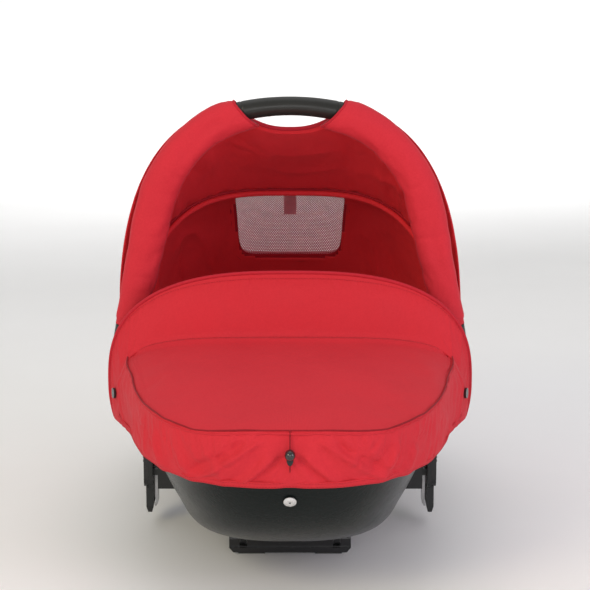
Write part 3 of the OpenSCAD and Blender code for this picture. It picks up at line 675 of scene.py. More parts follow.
def mesh_cloth(name, col, pitch=0.0026, hole=0.3):
    """Air mesh: rows of round holes, staggered, with knitted threads between."""
    m, nt, bsdf = material(name)
    tc = nt.nodes.new("ShaderNodeTexCoord")
    sep = nt.nodes.new("ShaderNodeSeparateXYZ")
    nt.links.new(tc.outputs["UV"], sep.inputs[0])
    x = math_node(nt, "DIVIDE", sep.outputs[0], pitch)
    y = math_node(nt, "DIVIDE", sep.outputs[1], pitch * 0.866)
    row = math_node(nt, "FLOOR", y)
    odd = math_node(nt, "MULTIPLY", math_node(nt, "MODULO", row, 2.0), 0.5)
    fx = math_node(nt, "SUBTRACT", math_node(nt, "FRACT", math_node(nt, "ADD", x, odd)), 0.5)
    fy = math_node(nt, "MULTIPLY", math_node(nt, "SUBTRACT", math_node(nt, "FRACT", y), 0.5), 0.866)
    squares = [math_node(nt, "MULTIPLY", f, f) for f in (fx, fy)]
    d = math_node(nt, "SQRT", math_node(nt, "ADD", *squares))
    nt.links.new(math_node(nt, "GREATER_THAN", d, hole), bsdf.inputs["Alpha"])
    tone = noise(nt, Scale=60.0, Detail=4.0)
    blend_into(nt, bsdf.inputs["Base Color"], tone, tuple(v * 0.85 for v in col), col)
    nt.links.new(bump(nt, d, 0.5, 0.0005), bsdf.inputs["Normal"])
    finish_surface(bsdf, Roughness=0.7, Sheen_Weight=0.3)
    return m


RED = fabric("red_cloth", (0.52, 0.016, 0.028), (0.65, 0.030, 0.044), sheen=0.05)
RED_PAD = fabric("red_padded", (0.52, 0.016, 0.030), (0.66, 0.032, 0.048), puff=0.0006)
# the lining is the same red cloth as RED, painted much brighter: painted light standing in for light shining
# through the cloth into the shaded hood and apron insides
LINING_PAINTED_GLOW = fabric("lining_painted_glow", (0.78, 0.026, 0.038), (0.90, 0.044, 0.060), rough=0.75, sheen=0.06)
PIPING = fabric("red_piping", (0.42, 0.010, 0.022), (0.56, 0.020, 0.038), weave=0.0007)
# thin dark cords whose colour is painted shade: the shadow lines along the seams, over a little real piping
SEAM_SHADE = fabric("seam_shadow", (0.22, 0.005, 0.011), (0.32, 0.009, 0.017), weave=0.0007)
THREAD = fabric("red_thread", (0.32, 0.008, 0.016), (0.46, 0.016, 0.028), weave=0.0005, coords="Object")
GREY = fabric("mattress_knit", (0.30, 0.31, 0.32), (0.44, 0.45, 0.46), weave=0.0012, rough=0.9, sheen=0.3,
              tint=(1, 1, 1))
MESH = mesh_cloth("window_mesh", (0.86, 0.24, 0.31), pitch=0.0032, hole=0.185)
WEB = webbing("grey_webbing", (0.20, 0.40, 0.40), (0.34, 0.56, 0.56))
WEB_BLACK = webbing("black_webbing", (0.012, 0.012, 0.013), (0.04, 0.04, 0.042))
TUB = plastic("tub_plastic", (0.006, 0.0085, 0.008), (0.0115, 0.015, 0.0145), rough=0.24, spec=0.12,
              depth=0.00001)
TRIM = plastic("trim_plastic", (0.007, 0.008, 0.0085), (0.013, 0.0145, 0.015), rough=0.36, grain=700.0,
               spec=0.32)
GLOSS = plastic("gloss_black", (0.005, 0.005, 0.006), (0.009, 0.009, 0.0105), rough=0.2, grain=1400.0,
                depth=0.00004, spec=0.35, coat=0.08)
KNOB = plastic("knob_gloss", (0.004, 0.004, 0.0045), (0.007, 0.007, 0.008), rough=0.1, grain=1500.0,
               depth=0.00001, spec=0.55, coat=0.5)
BAR = plastic("bar_coat", (0.014, 0.0145, 0.013), (0.026, 0.027, 0.024), rough=0.3, grain=1100.0,
              depth=0.00005, spec=0.35, coat=0.05)
GRIP = plastic("grip_rubber", (0.012, 0.0125, 0.011), (0.02, 0.0205, 0.019), rough=0.3, grain=900.0,
               depth=0.0001, spec=0.3)
RUBBER = plastic("foot_rubber", (0.014, 0.014, 0.013), (0.024, 0.024, 0.022), rough=0.6, grain=500.0,
                 depth=0.0003, spec=0.3)
BUTTON = plastic("button_grey", (0.06, 0.065, 0.07), (0.1, 0.105, 0.11), rough=0.4, grain=800.0)
RED_BUTTON = plastic("button_red", (0.35, 0.012, 0.02), (0.48, 0.02, 0.03), rough=0.35, grain=1000.0)
STEEL = metal("zinc_steel", (0.5, 0.5, 0.51))
ALU = metal("rivet_alu", (0.86, 0.86, 0.86), rough=0.42, stretch=(1, 1, 1))
FOAM = plastic("black_foam", (0.010, 0.010, 0.011), (0.018, 0.018, 0.02), rough=0.7, grain=260.0,
               depth=0.0003, spec=0.3)
BOARD = plastic("board", (0.1, 0.1, 0.105), (0.16, 0.16, 0.165), rough=0.6, grain=300.0)


# ---------------------------------------------------------------- camera, floor and lights
ELEVATION = math.radians(11.0)
DISTANCE = 2.48
FOCAL_PX = 2000.0
IMAGE = 590
AIM = Vector((0, 0, 0.279))
cam_data = bpy.data.cameras.new("camera")
cam = bpy.data.objects.new("camera", cam_data)
bpy.context.scene.collection.objects.link(cam)
cam_data.sensor_width = 36.0
cam_data.lens = FOCAL_PX / IMAGE * 36.0
cam_data.shift_x = (IMAGE / 2 - 290.0) / IMAGE
cam_data.shift_y = (303.6 - IMAGE / 2) / IMAGE
cam.location = AIM + DISTANCE * Vector((0, -math.cos(ELEVATION), math.sin(ELEVATION)))
cam.rotation_euler = (math.pi / 2 - ELEVATION, 0, 0)
cam_data.clip_end = 50
bpy.context.scene.camera = cam
bpy.context.scene.view_settings.view_transform = "Standard"

floor_mat, floor_nt, floor_bsdf = material("pale_floor")
floor_noise = add(floor_nt, "ShaderNodeTexNoise", Scale=3.0, Detail=4.0)
floor_nt.links.new(mapped(floor_nt, "Object"), floor_noise.inputs["Vector"])
floor_col = ramp(floor_nt, floor_noise.outputs["Fac"], [(0.3, (0.92, 0.92, 0.92)), (0.7, (0.94, 0.94, 0.94))])
floor_nt.links.new(floor_col.outputs["Color"], floor_bsdf.inputs["Base Color"])
floor_bsdf.inputs["Roughness"].default_value = 0.75
ys = np.concatenate([np.linspace(-6000, 3500, 20), 3500 + 2500 * sind(np.linspace(6, 90, 15))])
zs = np.concatenate([np.zeros(20), 2500 * (1 - cosd(np.linspace(6, 90, 15)))])
ys, zs = np.append(ys, 6000), np.append(zs, 6000)
sweep = np.stack([np.stack([np.linspace(-7000, 7000, 12), np.full(12, y), np.full(12, z)], -1)
                  for y, z in zip(ys, zs)])
floor = sheet_object("floor", sweep - np.array([0, 0, 0.2]), [floor_mat])

world = bpy.data.worlds.new("studio")
bpy.context.scene.world = world
world.use_nodes = True
world.node_tree.nodes["Background"].inputs["Color"].default_value = (1, 1, 1, 1)
world.node_tree.nodes["Background"].inputs["Strength"].default_value = 0.62


def area_light(name, loc, aim, size, power, colour=(1, 1, 1)):
    d = bpy.data.lights.new(name, "AREA")
    d.shape = "RECTANGLE"
    d.size, d.size_y = size
    d.energy = power
    d.color = colour
    o = bpy.data.objects.new(name, d)
    bpy.context.scene.collection.objects.link(o)
    o.location = loc
    o.rotation_euler = (Vector(aim) - Vector(loc)).to_track_quat("-Z", "Y").to_euler()
    return o


area_light("key", (-1.6, -2.0, 1.5), (0, -0.1, 0.25), (1.2, 1.0), 22, (1, 0.88, 0.6))
area_light("fill", (1.9, -1.6, 1.0), (0, 0, 0.25), (1.2, 1.0), 14, (0.97, 0.84, 1))
area_light("low", (0.0, -2.7, 0.75), (0, 0.2, 0.38), (0.8, 0.6), 8.5)
area_light("top", (0.0, 0.5, 2.6), (0, 0.2, 0.2), (1.8, 1.8), 8)
area_light("rear", (0.4, 3.2, 1.9), (0, 4.5, 1.0), (2.4, 1.6), 40)


# ---------------------------------------------------------------- tub
def tub_solid():
    n, levels = 224, 46
    phi = np.concatenate([np.linspace(5, 40, 16), np.linspace(42, 90, levels - 16)])
    rows = []
    for f in phi:
        p = tub_ring(n, f)
        # a raised band starts just under the apron's hem
        band = smooth(147.0, 150.5, p[:, 2]) * 1.5
        away = p[:, :2] / np.linalg.norm(p[:, :2], axis=1)[:, None]
        p[:, :2] += away * (band - 0.9)[:, None]
        rows.append(p)
    outer = np.stack(rows)
    # smooth the profile's table corners a little
    for _ in range(3):
        outer[1:-1] = 0.25 * outer[:-2] + 0.5 * outer[1:-1] + 0.25 * outer[2:]
    inner = np.stack([tub_ring(n, f, 3.0) for f in phi])
    rings = np.concatenate([outer, inner[::-1]])
    return loft("tub_moulding", rings, [TUB])


def cutters(name, boxes):
    """Boxes that cut holes, as one mesh."""
    verts, faces = [], []
    for box in boxes:
        base = len(verts)
        verts += [(box[a][0], box[b][1], box[c][2]) for a in (0, 1) for b in (0, 1) for c in (0, 1)]
        sides = [(0, 1, 3, 2), (4, 6, 7, 5), (0, 4, 5, 1), (2, 3, 7, 6), (0, 2, 6, 4), (1, 5, 7, 3)]
        faces += [tuple(base + i for i in f) for f in sides]
    return new_object(name, verts, faces)


def belt_slots(o):
    """Cuts the four belt guide slots through the tub's sides."""
    boxes = []
    for sx in (-1, 1):
        for sy in (-1, 1):
            x, y = sorted([sx * 100, sx * 170]), sorted([sy * 165.5, sy * 174.5])
            boxes.append(((x[0], y[0], 77), (x[1], y[1], 103)))
    knife = cutters("knife", boxes)
    cut = o.modifiers.new("slots", "BOOLEAN")
    cut.operation = "DIFFERENCE"
    cut.solver = "EXACT"
    cut.object = knife
    apply_modifiers(o)
    bpy.data.objects.remove(knife)
    for face in o.data.polygons:
        face.use_smooth = True


shell = tub_solid()
belt_slots(shell)
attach(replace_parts(shell, "shell"), "tub")


def ring_at(inset, z, n=260):
    t = even_angles(n, HALF_W, HALF_L, PLAN_POWER)
    x, y = plan(t, HALF_W - inset, HALF_L - inset)
    return np.stack([x, y, np.full_like(x, z)], -1)


# inset and height of the trim's section, a hook over the wall's edge
section = [(-2.4, 201), (-1.9, 200), (-0.6, 200), (-0.4, 200.6), (-0.4, 208.2), (4.2, 208.2), (4.2, 205.8),
           (4.5, 205.4), (5.4, 205.4), (5.8, 205.8), (5.8, 211), (5.0, 213), (3.8, 214), (0.5, 214),
           (-0.9, 213.4), (-1.9, 212.2), (-2.4, 210.5)]
trim = loft("rim_moulding", np.stack([ring_at(a, z) for a, z in section]), [TRIM], closed=True)
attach(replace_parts(trim, "rim_trim"), "tub")

# ---------------------------------------------------------------- handle bar
bar = tube("carry_bar", bar_line(np.linspace(-BAR_L, BAR_L, 181)), BAR_R, [BAR], sides=40)
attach(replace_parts(bar, "handle_bar"), "handle")

# grip: a slightly waisted rubber sleeve with fine rings near its ends
s = np.linspace(-64, 64, 160)
grip_taper = 1 - 0.035 * np.cos(np.linspace(-np.pi, np.pi, 160) * 0.5) ** 2
grip_taper *= 1 - 0.03 * (np.abs(np.abs(s) - 58) < 1.0)
grip_taper[0] = grip_taper[-1] = 0.9
grip = tube("hand_grip", bar_line(s), BAR_R + 1.5, [GRIP], sides=40, taper=grip_taper)
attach(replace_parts(grip, "handle_grip"), "handle")


# ---------------------------------------------------------------- hood sleeves
def sleeve(side):
    """Padded sleeve round the bar: an oval pillow with a rolled end at the hand's cut-out."""
    s0, s1 = math.radians(13.5) * ARC_R[0], BAR_L - 22
    n, m = 120, 48
    lengths = np.linspace(s0, s1, n)
    a = np.arange(m) * 2 * np.pi / m
    inner_side = (0.5 - 0.5 * np.cos(a)) ** 1.5
    rings = []
    for q in lengths:
        leg = max(0.0, (q - ARCS_L) / LEG_L)
        middle = smooth(70, 170, q) * (1 - smooth(430, 540, q))
        out = 17.0 - 4.0 * smooth(80, 150, q) * (1 - smooth(330, 430, q))
        inn = 25.0 - 8.0 * leg + 7.0 * middle
        end = 1 - 0.12 * math.exp(-((q - s0) / 5.0) ** 2) - 0.25 * math.exp(-((q - s1) / 6.0) ** 2)
        mid, half = (out - inn) / 2, (out + inn) / 2 * end
        u = mid * end + half * spow(np.cos(a), 0.92)
        v = 18.6 * end * spow(np.sin(a), 0.92)
        # the inner side reaches further towards the middle of the cut-out
        back = 24.0 * inner_side * (1 - smooth(0, 75, q - s0))
        ring = []
        for k in range(m):
            p, h = bar_point(q - back[k])
            ring.append((p[0] + u[k] * sind(h), v[k], p[1] + u[k] * cosd(h)))
        rings.append(ring)
    rings = np.stack(rings)
    # soft dents and cross creases, deeper on the inside of the bend
    L, A = np.meshgrid(lengths, a, indexing="ij")
    inside = 0.5 - 0.5 * np.cos(A)
    bend = smooth(90, 150, L) * (1 - smooth(330, 400, L))
    d = 0.9 * fractal(L / 46, np.cos(A) * 1.3 + 5, 11 + side, 3)
    d -= 1.5 * inside * bend * ridge(L / 17 + 0.4 * np.sin(A), np.sin(A) * 0.8, 21 + side)
    d -= 0.8 * np.exp(-((L - s0 - 9) / 2.2) ** 2)
    du = np.roll(rings, -1, 1) - np.roll(rings, 1, 1)
    dv = np.gradient(rings, axis=0)
    nn = np.cross(dv, du)
    nn /= np.linalg.norm(nn, axis=2)[..., None]
    rings = rings + nn * d[..., None]

    # roll in at both ends to the bar
    def lip(q, ring, away):
        p, h = bar_point(q)
        c = np.array([p[0], 0, p[1]])
        axis = np.array([cosd(h), 0, -sind(h)])
        out = []
        for f, back in ((0.93, 1.2), (0.82, 1.2), (0.72, 0.0), (0.68, -4.0), (0.66, -12.0)):
            r = c + (ring - c) * f
            along = ((r - c) @ axis)[:, None]
            flat = r - c - along * axis
            dist = np.linalg.norm(flat, axis=1)[:, None]
            out.append(c + along * axis + flat * np.maximum(1, 12.8 / dist) + axis * back * away)
        return out

    first = lip(s0, rings[0], -1)[::-1]
    last = lip(s1, rings[-1], 1)
    rings = np.concatenate([np.stack(first), rings, np.stack(last)])
    if side < 0:
        rings = rings * np.array([-1, 1, 1])
        rings = rings[:, ::-1]
    name = "hood_sleeve_" + side_name(side)
    o = loft(name, rings, [RED_PAD])
    pins = np.zeros((rings.shape[0], m))
    pins[:8] = pins[-8:] = 1
    cloth(o, 14, pins.ravel(), pressure=3.0, gravity=0.0, cap=2.2, stiff=20, bend=2.0)
    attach(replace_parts(o, "sleeve_" + side_name(side)), "handle")
    # binding at the cut-out end
    ring = rings[5]
    c = ring.mean(0)
    loop = np.concatenate([ring, ring[:1]])
    b = tube(name + "_binding", c + (loop - c) * 0.985, 1.5, [PIPING], sides=8)
    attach(b, "handle")


sleeve(-1)
sleeve(1)


# ---------------------------------------------------------------- hood
def hood_weights(o):
    """Bakes the object's placement into its mesh."""
    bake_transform(o)


def hood_front():
    rows, cols = 44, 150
    u = even_u(cols)
    v = np.linspace(0.0, 0.496, rows)
    V, U = np.meshgrid(v, u, indexing="ij")
    p = hood_point(U, V)
    s = 2 * V
    edge = np.sin(np.pi * np.clip(s, 0, 1))
    side_x = np.abs(U)
    # hollows between the sleeves and the bow, and folds running from one to the other
    pull = -4.0 * edge * smooth(0.15, 0.6, side_x)
    folds = -6.5 * edge**0.7 * ridge(U * 9 + 0.5 * s, s * 1.2 + 3, 5) * smooth(0.22, 0.5, side_x)
    cross = -3.2 * edge * ridge(U * 3.2 + 0.4 * s, s * 3.2 + 0.9 * np.abs(U), 9)
    soft = 2.6 * edge * fractal(U * 6, s * 2.6, 15)
    p = displace(p, -(pull + folds + cross + soft))
    o = sheet_object("hood_front_panel", p, [RED, LINING_PAINTED_GLOW], flip=True)
    pins = np.where((V < 0.02) | (V > 0.485), 1.0, 0.0).ravel()
    cloth(o, 12, pins, gravity=0.6, slack=0.015, cap=5.0, stiff=12, bend=0.3)
    solidify(o, 1.6, 1.0, 1)
    hood_weights(o)
    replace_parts(o, "hood_top")


WINDOW_U = 0.238
WINDOW_V = (0.53, 0.83)


def hood_rear():
    rows, cols = 80, 200
    u = even_u(cols)
    v = np.linspace(0.504, 1.0, rows)
    V, U = np.meshgrid(v, u, indexing="ij")
    p = hood_point(U, V)
    s = 2 * V - 1
    edge = np.sin(np.pi * np.clip(s, 0, 1)) ** 0.8
    near = smooth(WINDOW_U * 1.05, WINDOW_U * 1.6, np.abs(U))
    folds = -5.0 * edge * ridge(U * 7 + 2 + 0.8 * s, s * 1.5, 31) * near
    soft = 2.2 * edge * fractal(U * 5, s * 3, 35) * (0.35 + 0.65 * near)
    p = displace(p, -(folds + soft))
    uc = (U[:-1, :-1] + U[1:, 1:]) / 2 / WINDOW_U
    vc = ((V[:-1, :-1] + V[1:, 1:]) / 2 - sum(WINDOW_V) / 2) / ((WINDOW_V[1] - WINDOW_V[0]) / 2)
    inside = (np.abs(uc) ** 7 + np.abs(vc) ** 7) < 0.93
    o = sheet_object("hood_rear_panel", p, [RED, LINING_PAINTED_GLOW], keep=~inside, flip=True)
    return o, p, V


def kept_values(o, p, values):
    """The grid values of the vertices that were kept, found by position."""
    flat = p.reshape(-1, 3)
    places = {tuple(np.round(q, 3)): i for i, q in enumerate(flat)}
    out = []
    for vert in o.data.vertices:
        q = np.array(vert.co) / MM
        i = places.get(tuple(np.round(q, 3)))
        out.append(values.ravel()[np.argmin(((flat - q) ** 2).sum(1)) if i is None else i])
    return np.array(out)


hood_front()
rear, rear_p, rear_V = hood_rear()
rear_v = kept_values(rear, rear_p, rear_V)
rear_pins = np.where((rear_v < 0.515) | (rear_v > 0.985), 1.0, 0.0)
cloth(rear, 12, rear_pins, gravity=0.4, slack=0.01, cap=3.0, stiff=14, bend=0.4)
solidify(rear, 1.6, 1.0, 1)
# the window takes a tenth of the panel
hood_weights(rear)
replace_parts(rear, "hood_rear")


mesh_v = np.linspace(WINDOW_V[0] - 0.004, WINDOW_V[1] + 0.006, 26)
mesh_V, mesh_U = np.meshgrid(mesh_v, np.linspace(-1.02, 1.02, 40) * WINDOW_U, indexing="ij")
mesh_p = displace(hood_point(mesh_U, mesh_V), np.full(mesh_U.shape, -2.2))
window = sheet_object("hood_window_mesh", mesh_p, [MESH], flip=True)
hood_weights(window)
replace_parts(window, "hood_window")


def hood_normal(u, v, e=0.003):
    """The hood's outward direction, measured over steps of e."""
    du = hood_point(u + e, v) - hood_point(u - e, v)
    dv = hood_point(u, np.minimum(v + e, 1)) - hood_point(u, np.maximum(v - e, 0))
    n = np.cross(du, dv)
    return n / (np.linalg.norm(n, axis=-1)[..., None] + 1e-9)


def window_loop(n, grow):
    """The window's rounded outline on the hood."""
    a = np.linspace(0, 2 * np.pi, n, endpoint=False)
    uu = WINDOW_U * spow(np.cos(a), 2 / 7) * grow
    vv = sum(WINDOW_V) / 2 + (WINDOW_V[1] - WINDOW_V[0]) / 2 * spow(np.sin(a), 2 / 7) * grow
    return uu, vv


def window_binding(name, out, n=160, rows=5):
    """A flat band round the window, out millimetres off the cloth."""
    u0, v0 = window_loop(n, 0.95)
    u1, v1 = window_loop(n, 1.09)
    share = np.arange(rows)[:, None] / (rows - 1)
    U, V = u0 + (u1 - u0) * share, v0 + (v1 - v0) * share
    crown = np.sin(np.linspace(0, np.pi, rows))[:, None, None] * 0.7
    band = hood_point(U, V) - hood_normal(U, V, 0.002) * (out + crown)
    o = sheet_object(name, band, [PIPING], wrap=True)
    solidify(o, 1.2, 0.0)
    hood_weights(o)


window_binding("window_binding_inner", -1.6)
window_binding("window_binding_outer", 3.0)


def strip_on_hood(name, us, vs, radius, mats, out=0.0, sides=8):
    """A cord sewn along a line of the hood."""
    o = tube(name, hood_point(us, vs) - hood_normal(us, vs) * out, radius, mats, sides=sides)
    hood_weights(o)


uu = even_u(160)
strip_on_hood("hood_bow_seam", uu, np.full_like(uu, 0.5), 2.2, [PIPING], out=-1.0)
# a thin dark cord beside the bow seam: a painted shadow line
strip_on_hood("hood_bow_piping", uu, np.full_like(uu, 0.5), 1.0, [SEAM_SHADE], out=3.2)
cut_u = even_u(90, -0.42, 0.42)
strip_on_hood("hood_front_binding", cut_u, np.full_like(cut_u, 0.004), 2.6, [PIPING], out=0.5, sides=10)
strip_on_hood("hood_rim_piping", uu, np.full_like(uu, 0.998), 2.4, [PIPING], out=0.5)

# webbing strap sewn behind the window
strap_v = np.linspace(0.505, 0.70, 24)
strap_p = hood_point(np.zeros(24), strap_v) + np.array([0, 3.2, 4.2])
strap = ribbon("window_strap_web", strap_p, (1, 0, 0), 17.0, 1.4, [WEB])
hood_weights(strap)
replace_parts(strap, "window_strap")

# fabric tunnel over the rear bow
bt = np.linspace(1.5, 178.5, 140)
bx, br = bow_arch(bt, 197.0, 322.0)
bx = bx - np.sign(bx) * 6.4 * np.maximum(0, 1 - (br - 60) / 26)
bow_pts = np.stack([bx, br * sind(45.0), PIVOT_Z + br * cosd(45.0)], -1)
tunnel = tube("bow_tunnel", bow_pts[br > 62], 3.6, [LINING_PAINTED_GLOW], sides=14)
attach(tunnel, "bow")


# ---------------------------------------------------------------- apron
def crease_point(s):
    """Where the apron's top meets the flap, from its middle at 0 to its ends at -1 and 1."""
    x = 187 * s
    z = 187 + 65 * (1 - np.abs(x / 202) ** 4) ** 0.25
    return np.stack([x, CREASE_Y - 3.0 * (1 - s * s), z], -1)


def side_flare(p, share):
    """Moves the apron's sides out towards the flap's ends, and says how near each point is to them."""
    near = smooth(-185, -98, p[..., 1])
    p[..., 0] += np.sign(p[..., 0]) * 13.5 * near * share
    return near


def seam_dip(k):
    """The apron's seam sags on either side of its middle."""
    return 3.6 * np.exp(-(((np.abs(k) - 0.27) / 0.19) ** 2))


def apron_top():
    rows, cols = 70, 150
    k = even_k(cols)
    w = np.linspace(0, 1, rows)
    W, K = np.meshgrid(w, k, indexing="ij")
    a = seam(K)
    p = a + W[..., None] * (crease_point(spow(sind(90 * K), 0.9)) - a)
    crown = np.sin(np.pi * np.clip(W, 0, 1)) ** 0.8 * (1 - np.abs(K) ** 3) * 5.0
    up = np.clip((W - 0.9) / 0.1, 0, 1) ** 2
    p[..., 2] += crown + 0.6 + 1.2 * up * (1 - np.abs(K) ** 4)
    side_flare(p, 0.5 * (1 - W) * smooth(0.6, 0.95, np.abs(K)))
    # rounds over into the seam, with small puckers beside it
    p[..., 2] -= 3.2 * np.exp(-W / 0.035) + seam_dip(K) * (1 - smooth(0, 0.5, W))
    p[..., 2] += 0.7 * np.exp(-W / 0.06) * np.sin(K * 150 + 3 * noise2(K * 9, W * 0, 3))
    # a few long tension lines from the crease's ends to the foot corners
    p[..., 2] += 1.2 * fractal(K * 5 + W * 1.2, W * 2.0, 41) * np.sin(np.pi * W) ** 0.6
    creases = ridge(K * 4 + W * 2.5 * np.sign(K), W * 1.2, 43)
    p[..., 2] -= 1.6 * creases * smooth(0.25, 0.7, np.abs(K)) * np.sin(np.pi * W)
    o = sheet_object("apron_top_panel", p, [RED, LINING_PAINTED_GLOW], flip=False)
    pins = np.where((W < 0.01) | (W > 0.99), 1.0, 0.0).ravel()
    cloth(o, 12, pins, gravity=0.3, slack=0.004, cap=3.0, stiff=20, bend=1.0)
    solidify(o, 2.0, -1.0, 1)
    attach(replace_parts(o, "apron_top"), "tub")


def skirt_surface(K, W):
    p = skirt(K, W)
    # fine pleats where the cloth flares out to join the flap
    near = side_flare(p, 0.5 + 0.5 * smooth(0, 0.5, W))
    pleat = np.sin(p[..., 1] / 3.4 + 9 * W) * 0.9
    p[..., 0] += np.sign(p[..., 0]) * near * pleat * smooth(0, 0.5, W) * (1 - smooth(-95, -80, p[..., 1]))
    p[..., 2] -= seam_dip(K) * (1 - smooth(0, 0.6, W))
    # gathers fan out from the foot corners and die towards the seam
    corner = np.exp(-((np.abs(K) - 0.45) / 0.24) ** 2)
    lean = 7.0 * (W - 0.2) * np.sign(K) * (0.75 - np.abs(K))
    g = np.sin(K * 40 + lean + 2.2 * noise2(K * 9, W * 1.3, 51)) * 0.5 + 0.5
    amp = (0.9 + 6.2 * corner) * smooth(0.08, 0.7, W) * (1 - 0.72 * smooth(0.82, 1.0, W))
    d = amp * (g**1.8 - 0.38)
    # broad swags that run from the seam down to the foot corners, and from the knob to the hem
    far = np.abs(p[..., 0])
    drape = far - 34 - 56 * (W - 0.22) / 0.6
    inside = smooth(0.15, 0.35, W) * (1 - smooth(0.8, 0.95, W))
    d += (4.6 * np.exp(-((drape / 7) ** 2)) - 4.0 * np.exp(-(((drape - 15) / 9) ** 2))) * inside
    pull = far - 34 * (W - 0.42) / 0.4
    d -= 3.4 * np.exp(-((pull / 5) ** 2)) * smooth(0.42, 0.55, W) * (1 - smooth(0.8, 0.95, W))
    d += 3.2 * np.exp(-(((pull - 10) / 7) ** 2)) * smooth(0.42, 0.55, W) * (1 - smooth(0.8, 0.95, W))
    d += 2.2 * fractal(K * 13, W * 2.0 + 0.4 * np.abs(K), 53) * np.sin(np.pi * W)
    creases = ridge(K * 9 + 1.6 * W * np.sign(K), W * 1.8 - 0.5 * np.abs(K), 57)
    d -= 2.8 * creases * np.sin(np.pi * W) * (0.35 + corner)
    # the centre seam sits in a shallow valley
    d -= 1.6 * np.exp(-((K / 0.012) ** 2))
    d -= 1.4 * np.exp(-W / 0.03)
    return p, d


def outward(p):
    n = np.cross(np.gradient(p, axis=1), np.gradient(p, axis=0))
    return n / (np.linalg.norm(n, axis=2)[..., None] + 1e-9)


def apron_skirt():
    rows, cols = 56, 420
    k = even_k(cols, bulge)
    w = np.linspace(0, 1, rows)
    W, K = np.meshgrid(w, k, indexing="ij")
    p, d = skirt_surface(K, W)
    n = outward(p)
    if (n[..., 1] * p[..., 1]).mean() < 0:
        n = -n
    q = p + n * d[..., None]
    o = sheet_object("apron_side_skirt", q, [RED, LINING_PAINTED_GLOW], flip=True)
    pins = np.where((W < 0.02) | (W > 0.98) | (np.abs(K) > 0.995), 1.0, 0.0).ravel()
    cloth(o, 10, pins, gravity=1.0, slack=0.01, cap=2.5, stiff=15, bend=0.3)
    solidify(o, 1.8, -1.0, 1)
    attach(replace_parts(o, "apron_skirt"), "tub")
    return q, n, k


apron_top()
skirt_p, skirt_n, skirt_k = apron_skirt()
seam_line = skirt_p[0] + skirt_n[0] * 0.3 + np.array([0, 0, 0.2])
seam_line[:, 2] += 0.8 * noise2(skirt_k * 14, skirt_k * 0, 61)
# the seam's cord is coloured with painted seam shadow
cord = tube("apron_seam_piping", seam_line, 0.9, [SEAM_SHADE], sides=8)
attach(cord, "tub")
hem_band = np.stack([skirt_p[-i] + skirt_n[-i] * 1.1 for i in range(1, 7)])
hb = sheet_object("apron_hem_band", hem_band, [RED])
solidify(hb, 1.6, 0.0)
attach(hb, "tub")
for i, nm in ((2, "a"), (5, "b")):
    row = skirt_p[-i] + skirt_n[-i] * 1.9
    st = stitches("hem_stitches_" + nm, row, skirt_n[-i], [THREAD])
    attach(st, "tub")
mid_j = int(np.argmin(np.abs(skirt_k)))
centre = skirt_p[:, mid_j] + skirt_n[:, mid_j] * 0.9
# the centre seam's dark line is painted shade in its valley
cs = tube("apron_centre_seam", centre, 0.8, [SEAM_SHADE], sides=6)
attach(cs, "tub")


def wind_flap():
    rows, cols = 36, 260
    t = np.linspace(-24, 204, 4001)
    f = flap_free(t)
    s = lengths_along(f)
    t = np.interp(np.linspace(0, s[-1], cols + 1), s, t)
    w = np.linspace(0, 1, rows)
    W, T = np.meshgrid(w, t, indexing="ij")
    p = flap(T, W)
    n = np.stack([p[..., 0], np.zeros_like(W) - 60.0, p[..., 2] - 150], -1)
    n /= np.linalg.norm(n, axis=2)[..., None]
    a = np.abs(T - 90) / 114
    d = 2.2 * np.sin(np.pi * W) + 1.0 * fractal(a * 9, W * 2 + 2, 71) * np.sin(np.pi * W) ** 0.5
    d -= 2.0 * ridge(a * 8 + W, W * 1.4, 73) * smooth(0.55, 0.9, a) * np.sin(np.pi * W)
    d -= 1.2 * np.exp(-((W - 0.93) / 0.012) ** 2)
    p = p + n * d[..., None]
    o = sheet_object("wind_flap_panel", p, [RED, LINING_PAINTED_GLOW], flip=True)
    pins = np.where((W < 0.02) | (W > 0.97), 1.0, 0.0).ravel()
    cloth(o, 10, pins, gravity=0.5, slack=0.006, cap=2.5, stiff=20, bend=1.0)
    solidify(o, 2.4, -1.0, 1)
    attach(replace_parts(o, "wind_flap"), "tub")
    edge = tube("wind_flap_piping", p[-1], 2.3, [PIPING], sides=10)
    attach(edge, "tub")
    row = int(0.9 * (rows - 1))
    st = stitches("wind_flap_stitches", p[row] + n[row] * 0.5, n[row], [THREAD])
    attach(st, "tub")


wind_flap()


# ---------------------------------------------------------------- inside
def liner():
    n, rows = 150, 34
    inner, outer = [np.stack([tub_ring(n, f, inset) for f in np.linspace(20, 87, rows)])
                    for inset in (14.0, 7.0)]
    j = np.arange(n)
    channel = np.cos(j * 2 * np.pi / n * 30) * 0.5 + 0.5
    lvl = np.linspace(0, 1, rows)[:, None]
    puff = 2.6 * channel**0.5 * np.sin(np.pi * np.clip(lvl * 1.05, 0, 1)) ** 0.5
    away = inner[..., :2] / np.linalg.norm(inner[..., :2], axis=2)[..., None]
    inner[..., :2] -= away * puff[..., None]
    top = []
    for a in np.linspace(0, 180, 9)[1:-1]:
        mid = (inner[-1] + outer[-1]) / 2
        half = (outer[-1] - inner[-1]) / 2
        ring = mid - half * cosd(a)
        ring[:, 2] = mid[:, 2] + 3.4 * sind(a)
        top.append(ring)
    rings = np.concatenate([inner, np.stack(top), outer[::-1]])
    o = loft("cabin_liner", rings, [RED_PAD, FOAM])
    outside = len(rings) - rows
    for face in o.data.polygons:
        if min(face.vertices) >= outside * n:
            face.material_index = 1
    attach(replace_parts(o, "liner"), "tub")


liner()


